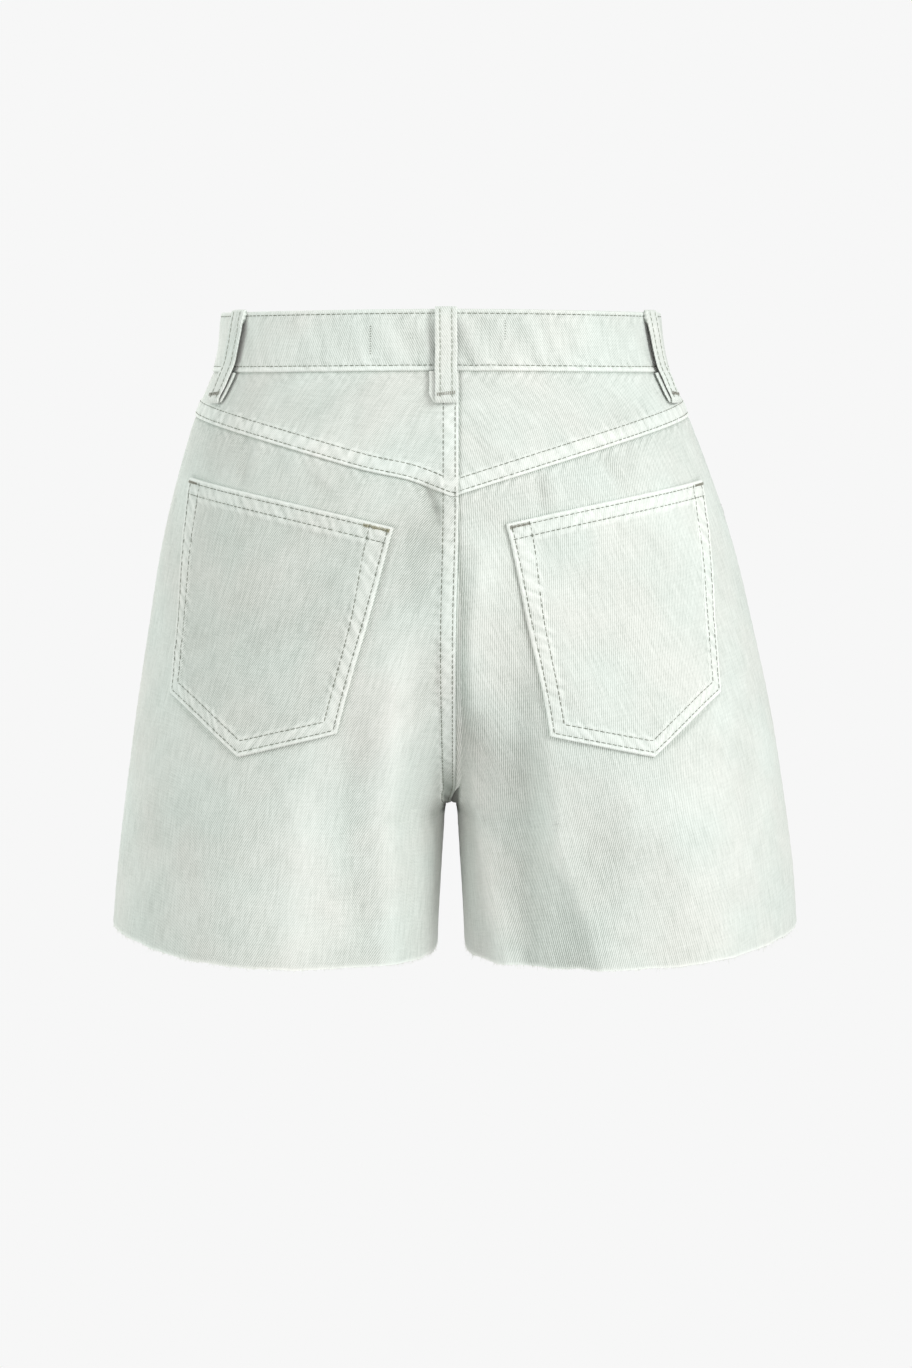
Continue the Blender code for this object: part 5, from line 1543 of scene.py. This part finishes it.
for seed, (name, (side, measure, value, slipped)) in enumerate(LOOPS.items()):
    quarter = QUARTERS[side]
    over_band = LAP_PROUD + 0.25
    over_yoke = over_band if quarter.back else 0.2
    bow, thick, end, turn_up = over_band + LOOP_BOW, LOOP_THICK, LOOP_END, LOOP_TURN_UP
    under = over_yoke + thick
    # The strap seen from its edge, as (distance below the band's top, how far out).
    outside = np.array(
        (
            (-1.1, over_band + 1.2),
            (-0.5, over_band + 2.3),
            (1.6, bow + thick - 0.9),
            (5.0, bow + thick - 0.4),
            (12.0, bow + thick),
            (24.0, bow + thick),
            (turn_up - 4, bow + thick - 0.2),
            (turn_up + 3, under + thick + 0.5),
            (turn_up + 8, under + thick + 0.15),
            (end - 4, under + thick),
            (end - 1, under + thick - 0.3),
            (end, under + 0.5),
        )
    )
    inside = np.array(
        (
            (-1.1, over_band + 0.4),
            (-0.2, over_band),
            (4.0, over_band),
            (7.5, bow - 0.9),
            (12.0, bow - 0.2),
            (24.0, bow),
            (turn_up - 3, bow - 0.2),
            (turn_up + 2, under + 0.4),
            (turn_up + 6, under + 0.1),
            (end - 1.5, under + 0.1),
            (end, under - 0.4),
        )
    )
    waist_s = value if measure == "s" else float(quarter.length(0.0)) - value
    waist = float(waist_top(waist_s / quarter.length(0.0), quarter.back))

    def on_strap(across, down):
        """s and drop of places on the strap, by their distance from its middle and from the band's top."""
        drop = down + waist + 0 * across
        middle = value if measure == "s" else quarter.length(drop) - value
        return middle + across + 0.22 * wander(down, 27, seed), drop

    def strap_piece(name, far, near, across, down, wear_and_shading, inside_wear_and_shading):
        """One layer of the strap between two heights."""
        edge = 1 - rounded(LOOP_WIDTH / 2 - np.abs(LOOP_COLUMNS), 0.9)
        half = (far - near) / 2
        s, drop = on_strap(across, down)
        made = shell(
            name,
            quarter.place(s, drop, far - np.minimum(half, 0.85) * edge),
            quarter.place(s, drop, near + np.minimum(half, 0.5) * edge),
            np.stack([across + 0 * drop, -drop], axis=-1) + 31.0 * seed,
            wear_and_shading + 0.32 * edge + 0 * drop,
            outwards(quarter),
            inside_wear_and_shading + 0 * drop,
        )
        made.data.materials.append(denim)
        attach(made, "root")
        return made

    down = np.array([-1.1, -0.9, -0.5, *np.linspace(0, end - 1.4, 84), end - 0.9, end - 0.4, end])[:, None]
    rows = -LOOP_GROOVE * close_to(np.abs(LOOP_COLUMNS) - LOOP_ROW, 0.7)
    from_edge = LOOP_WIDTH / 2 - np.abs(LOOP_COLUMNS)[None, :]
    rope = 0.2 * puckers(from_edge, down * np.sign(LOOP_COLUMNS + 0.01), seed + 1.0, 0.8, 3.5)
    crown = 0.18 * close_to(LOOP_COLUMNS, 1.8)
    # Painted shade: the strap's underside is painted dark all the way between its two ends, for the shade in
    # the slit behind it.
    slit_shade = ease((down - 4.0) / 4.0) * (1 - ease((down - end + 6.0) / 5.0))
    strap = strap_piece(
        f"{name}_cloth",
        smooth(*outside.T, down) + rows + rope + crown,
        smooth(*inside.T, down),
        LOOP_COLUMNS,
        down,
        LOOP_TONE + 0.5 * rope + 0.3 * rows,
        LOOP_UNDERSIDE_SHADE - 2.0 * slit_shade,
    )
    down = np.array([*np.linspace(turn_up - 1.0, end - 2.0, 30), end - 1.6, end - 1.2, end - 1.0])[:, None]
    # The turned end's underside is painted darker where it lies against the cloth: painted shade.
    turned = strap_piece(
        f"{name}_turned_end",
        under - 0.1 - 0.55 * ease((down - end + 3.0) / 2.2) + 0 * LOOP_COLUMNS,
        over_yoke + 0 * down + 0 * LOOP_COLUMNS,
        LOOP_COLUMNS + slipped * (1 - ease((down - end + 6) / 8)),
        down,
        LOOP_TONE - 0.02,
        LOOP_UNDERSIDE_SHADE - 0.8 * (down < end - 3),
    )

    def strap_line(across, down, lift):
        """A line on the strap's outer side, for stitches."""
        s, drop = on_strap(across, down)
        return run_of(quarter, s, drop, smooth(*outside.T, down) + lift)

    down = np.linspace(-0.3, end - 2.5, 160)
    rows = [stitched(strap_line(aside + 0 * down, down, -0.12)) for aside in (-LOOP_ROW, LOOP_ROW)]
    across = np.linspace(-5.0, 5.0, 30)
    tack = tacked(strap_line(across, LOOP_TACK + 0.1 * across, 0.28), 2.4, 1.2)
    sewn = [sewing(f"{name}_stitches", rows, pale_thread), sewing(f"{name}_tack", [tack], tack_thread)]
    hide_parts(name)

# ------------------------------------------------------------------------------ fly shield and zip
# The shield is a strip of twill behind the zip. The zip is two woven tapes with brass teeth, sewn
# behind the fly, and its slider is locked near the top.
ZIP_X = 11.0  # from the centre front
ZIP_TOP = float(waist_seam(0.0, False)) + 2.0
ZIP_END_DROP = 142.0
TAPE_REACH = {True: 13.0, False: 17.0}
TAPE_THICK = 0.8
TAPE_RIB = 0.9  # pitch of its ribs
TEETH_PARTED = 1.6  # from the zip's middle, above the slider's foot
CHAIN_DEPTH = 5.3
SLIDER_TOP = 46.0
SLIDER_END = SLIDER_TOP + 12.0
SHIELD_TOP = float(waist_seam(0.0, False)) + 1.0
SHIELD_END_DROP = 152.0
SHIELD_SPAN = (-10.0, 31.0)
SHIELD_DEPTH = 8.6
TOOTH_PITCH = 1.9
TOOTH_SIZE = (2.9, 0.52 * TOOTH_PITCH, 2.1)
TOOTH_ROUND = 0.25


def behind_fly(across, drop, out):
    """Places behind the fly, from their distance to the wearer's left of the centre front."""
    across, drop, out = np.broadcast_arrays(across, drop, out)
    points = np.zeros((*drop.shape, 3))
    for left in (True, False):
        here = across >= 0 if left else across < 0
        quarter = QUARTERS[left, False]
        points[here] = quarter.bare(np.abs(across[here]), drop[here])
        points[here] += quarter.normal(np.abs(across[here]), drop[here]) * out[here][:, None]
    return points


across, drop = np.meshgrid(np.linspace(*SHIELD_SPAN, 34), np.linspace(SHIELD_TOP, SHIELD_END_DROP, 60))
sewn = DENIM + POCKET_GAP + TAPE_THICK + 0.3
depth = sewn + (SHIELD_DEPTH - sewn) * ease((across + 6.0) / 9.0)
shield = shell(
    "fly_shield_cloth",
    behind_fly(across, drop, -depth),
    behind_fly(across, drop, -depth - DENIM),
    np.stack([across, -drop], axis=-1),
    0.46 + 0 * drop,
    True,
)
shield.data.materials.append(denim)
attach(shield, "root")
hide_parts("fly_shield")

# Woven polyester zip tape: off-white, in fine herringbone ribs along its length, with a faint gloss.
tape_weave, tree, shader = new_material("woven zip tape")
cut = add_node(tree, "ShaderNodeUVMap", uv_map="cloth").outputs["UV"]
ribs = add_node(
    tree,
    "ShaderNodeTexWave",
    [("Vector", cut), ("Scale", math.pi / (10 * TAPE_RIB * MM)), ("Distortion", 0.6)],
)
ramp = add_node(tree, "ShaderNodeValToRGB", [("Fac", ribs.outputs["Fac"])])
ramp.color_ramp.elements[0].color = linear("#b9bcae")
ramp.color_ramp.elements[1].color = linear("#dcdfd4")
tree.links.new(ramp.outputs["Color"], shader.inputs["Base Color"])
bump = add_node(
    tree, "ShaderNodeBump", [("Height", ribs.outputs["Fac"]), ("Distance", 0.12 * MM), ("Strength", 0.7)]
)
tree.links.new(bump.outputs["Normal"], shader.inputs["Normal"])
shader.inputs["Roughness"].default_value = 0.7

# Brass of the teeth and the slider: warm, brushed by tumbling, a little dull.
SCUFF_SCALE = 900.0  # scuffs 1.1 mm apart
brass, tree, shader = new_material("tumbled brass")
place = add_node(tree, "ShaderNodeTexCoord").outputs["Object"]
scuffs = add_node(tree, "ShaderNodeTexNoise", [("Vector", place), ("Scale", SCUFF_SCALE), ("Detail", 4.0)])
ramp = add_node(tree, "ShaderNodeValToRGB", [("Fac", scuffs.outputs["Fac"])])
ramp.color_ramp.elements[0].position = 0.3
ramp.color_ramp.elements[0].color = linear("#a08a52")
ramp.color_ramp.elements[1].position = 0.7
ramp.color_ramp.elements[1].color = linear("#cbb57a")
tree.links.new(ramp.outputs["Color"], shader.inputs["Base Color"])
dull = add_node(
    tree,
    "ShaderNodeMapRange",
    [("Value", scuffs.outputs["Fac"]), ("To Min", 0.28), ("To Max", 0.5)],
)
tree.links.new(dull.outputs["Result"], shader.inputs["Roughness"])
shader.inputs["Metallic"].default_value = 1.0

for side, left in SIDES.items():
    sign, reach = QUARTERS[left, False].sign, TAPE_REACH[left]
    from_edge = np.concatenate([np.linspace(0, 10, 18), np.linspace(10, reach, 5)[1:]])
    drop, edge = np.meshgrid(np.linspace(ZIP_TOP, ZIP_END_DROP, 90), from_edge, indexing="ij")
    parted = 0.55 + (TEETH_PARTED - 0.15) * (1 - ease((drop - SLIDER_END + 4) / 5))
    width = parted + edge * (reach - parted) / reach
    shallow = DENIM + POCKET_GAP + TAPE_THICK / 2
    depth = CHAIN_DEPTH + (shallow - CHAIN_DEPTH) * ease((width - 5.0) / 5.0)
    across = ZIP_X + sign * width
    tape = shell(
        f"zip_tape_{side}_cloth",
        behind_fly(across, drop, -depth + TAPE_THICK / 2),
        behind_fly(across, drop, -depth - TAPE_THICK / 2),
        np.stack([edge, -drop], axis=-1),
        0.5 + 0 * drop,
        not left,
    )
    tape.data.materials.append(tape_weave)
    # One tooth is a small block with blunt edges, clamped over the tape's edge.
    bpy.ops.object.select_all(action="DESELECT")
    bpy.ops.mesh.primitive_cube_add(size=1.0)
    tooth = bpy.context.object
    tooth.name = f"zip_tooth_{side}"
    tooth.scale = [size * MM for size in TOOTH_SIZE]
    bpy.ops.object.transform_apply(location=False, rotation=False, scale=True)
    round_off = tooth.modifiers.new("rounded", "BEVEL")
    round_off.width, round_off.segments = TOOTH_ROUND * MM, 1
    bpy.ops.object.modifier_apply(modifier="rounded")
    below = np.arange(SLIDER_END + 1, ZIP_END_DROP - 2, TOOTH_PITCH) + (0 if left else TOOTH_PITCH / 2)
    above = np.arange(ZIP_TOP + 2, SLIDER_TOP - 0.5, TOOTH_PITCH)
    teeth = []
    for level in np.concatenate([above, below]):
        parted = 0.4 + TEETH_PARTED * (1 - float(ease((level - SLIDER_END + 4) / 5)))
        at = ZIP_X + sign * (parted + 0.7)
        away = Vector(QUARTERS[LEFT_FRONT].normal(at, level))
        across = Vector((0.0, 0.0, 1.0)).cross(away).normalized()
        spot = Matrix((across, away.cross(across), away)).transposed().to_4x4()
        spot.translation = Vector(behind_fly(np.array([at]), level, -CHAIN_DEPTH)[0]) * MM
        copy = tooth.copy()
        copy.data = tooth.data.copy()
        copy.data.transform(spot)
        bpy.context.scene.collection.objects.link(copy)
        teeth.append(copy)
    bpy.data.objects.remove(tooth)
    bpy.ops.object.select_all(action="DESELECT")
    for copy in teeth:
        copy.select_set(True)
    bpy.context.view_layer.objects.active = teeth[0]
    bpy.ops.object.join()
    chain = teeth[0]
    chain.name = f"zip_teeth_{side}"
    chain.data.materials.append(brass)
    for piece, slot in ((tape, "zip_tape"), (chain, "zip_metal")):
        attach(piece, "root")
    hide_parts(f"zip_tape_{side}")
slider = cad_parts["zip_slider"]
slider.data.materials.clear()
slider.data.materials.append(brass)

# ------------------------------------------------------------------------------ button
# A shank button of nickelled brass on the band's upper end, dished with a raised rim, and the tack
# behind the band that holds it. The plate is warm grey, finely brushed, and shines softly.
BRUSH_SCALE = 700.0  # brushed places 1.4 mm apart
nickel, tree, shader = new_material("satin nickel plate")
place = add_node(tree, "ShaderNodeTexCoord").outputs["Object"]
brushed = add_node(tree, "ShaderNodeTexNoise", [("Vector", place), ("Scale", BRUSH_SCALE), ("Detail", 5.0)])
ramp = add_node(tree, "ShaderNodeValToRGB", [("Fac", brushed.outputs["Fac"])])
ramp.color_ramp.elements[0].position = 0.3
ramp.color_ramp.elements[0].color = linear("#9c9a94")
ramp.color_ramp.elements[1].position = 0.7
ramp.color_ramp.elements[1].color = linear("#c9c7c1")
tree.links.new(ramp.outputs["Color"], shader.inputs["Base Color"])
dull = add_node(
    tree,
    "ShaderNodeMapRange",
    [("Value", brushed.outputs["Fac"]), ("To Min", 0.25), ("To Max", 0.45)],
)
tree.links.new(dull.outputs["Result"], shader.inputs["Roughness"])
shader.inputs["Metallic"].default_value = 1.0
for name in ("waist_button", "button_tack"):
    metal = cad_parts[name]
    metal.data.materials.clear()
    metal.data.materials.append(nickel)

# ------------------------------------------------------------------------------ floor, light and camera
# A pale seamless sweep with no shadow on it. A large soft light stands behind the wearer's right, weaker
# ones light the other side and the hem from below, one lights the front, and even light is all round.
FLOOR_DROP = 0.47  # metres below the origin
AIM = (0, 0, -0.2)
CAMERA_PLACE = (-0.003, 2.0, 0.0115)
CAMERA_TILT = 6.23  # degrees down
PICTURE_PIXELS = 1368  # the picture's height
FOCAL_PIXELS = 3333.3
SENSOR = 24.0
bpy.context.scene.view_settings.view_transform = "Standard"
backdrop_paper, tree, shader = new_material("pale backdrop")
tree.nodes.remove(shader)
glow = add_node(tree, "ShaderNodeEmission", [("Color", linear("#f7f7f7")), ("Strength", 1.0)])
tree.links.new(glow.outputs[0], tree.nodes["Material Output"].inputs["Surface"])
bpy.ops.object.select_all(action="DESELECT")
bpy.ops.mesh.primitive_plane_add(size=8.0, location=(0, 0, -FLOOR_DROP))
floor = bpy.context.object
floor.name = "floor"
bpy.ops.mesh.primitive_uv_sphere_add(segments=48, ring_count=24, radius=7.0)
dome = bpy.context.object
dome.name = "backdrop"
for piece in (floor, dome):
    piece.data.materials.append(backdrop_paper)
    piece.visible_diffuse = piece.visible_glossy = piece.visible_shadow = False
    piece.visible_transmission = piece.visible_volume_scatter = False

world = bpy.data.worlds.new("studio")
bpy.context.scene.world = world
world.use_nodes = True
world.node_tree.nodes["Background"].inputs["Color"].default_value = linear("#fffffb")
world.node_tree.nodes["Background"].inputs["Strength"].default_value = 0.67


def soft_light(name, place, size, watts, colour):
    """A square soft box at a place, turned to the shorts. Sizes are metres."""
    data = bpy.data.lights.new(name, "AREA")
    data.shape, data.size, data.energy = "SQUARE", size, watts
    data.color = linear(colour)[:3]
    lamp = bpy.data.objects.new(name, data)
    lamp.location = place
    lamp.rotation_euler = (Vector(AIM) - Vector(place)).to_track_quat("-Z", "Y").to_euler()
    bpy.context.scene.collection.objects.link(lamp)


soft_light("key", (-1.81, 1.52, 0.9), 0.9, 31, "#f9fffb")
soft_light("rim", (2.43, 0.65, 0.47), 0.9, 13, "#ecfff6")
soft_light("low", (0.0, 2.36, -1.3), 0.9, 7, "#fffaf2")
soft_light("front", (1.2, -2.0, 0.9), 1.4, 30, "#fffefa")

# The camera looks at the back of the shorts from 2 m away and a little above.
camera_data = bpy.data.cameras.new("camera")
camera_data.sensor_fit = "VERTICAL"
camera_data.sensor_height = SENSOR
camera_data.lens = SENSOR * FOCAL_PIXELS / PICTURE_PIXELS
camera_data.clip_end = 20.0
camera = bpy.data.objects.new("camera", camera_data)
camera.location = CAMERA_PLACE
camera.rotation_euler = (math.radians(90 - CAMERA_TILT), 0.0, math.radians(180))
bpy.context.scene.collection.objects.link(camera)
bpy.context.scene.camera = camera
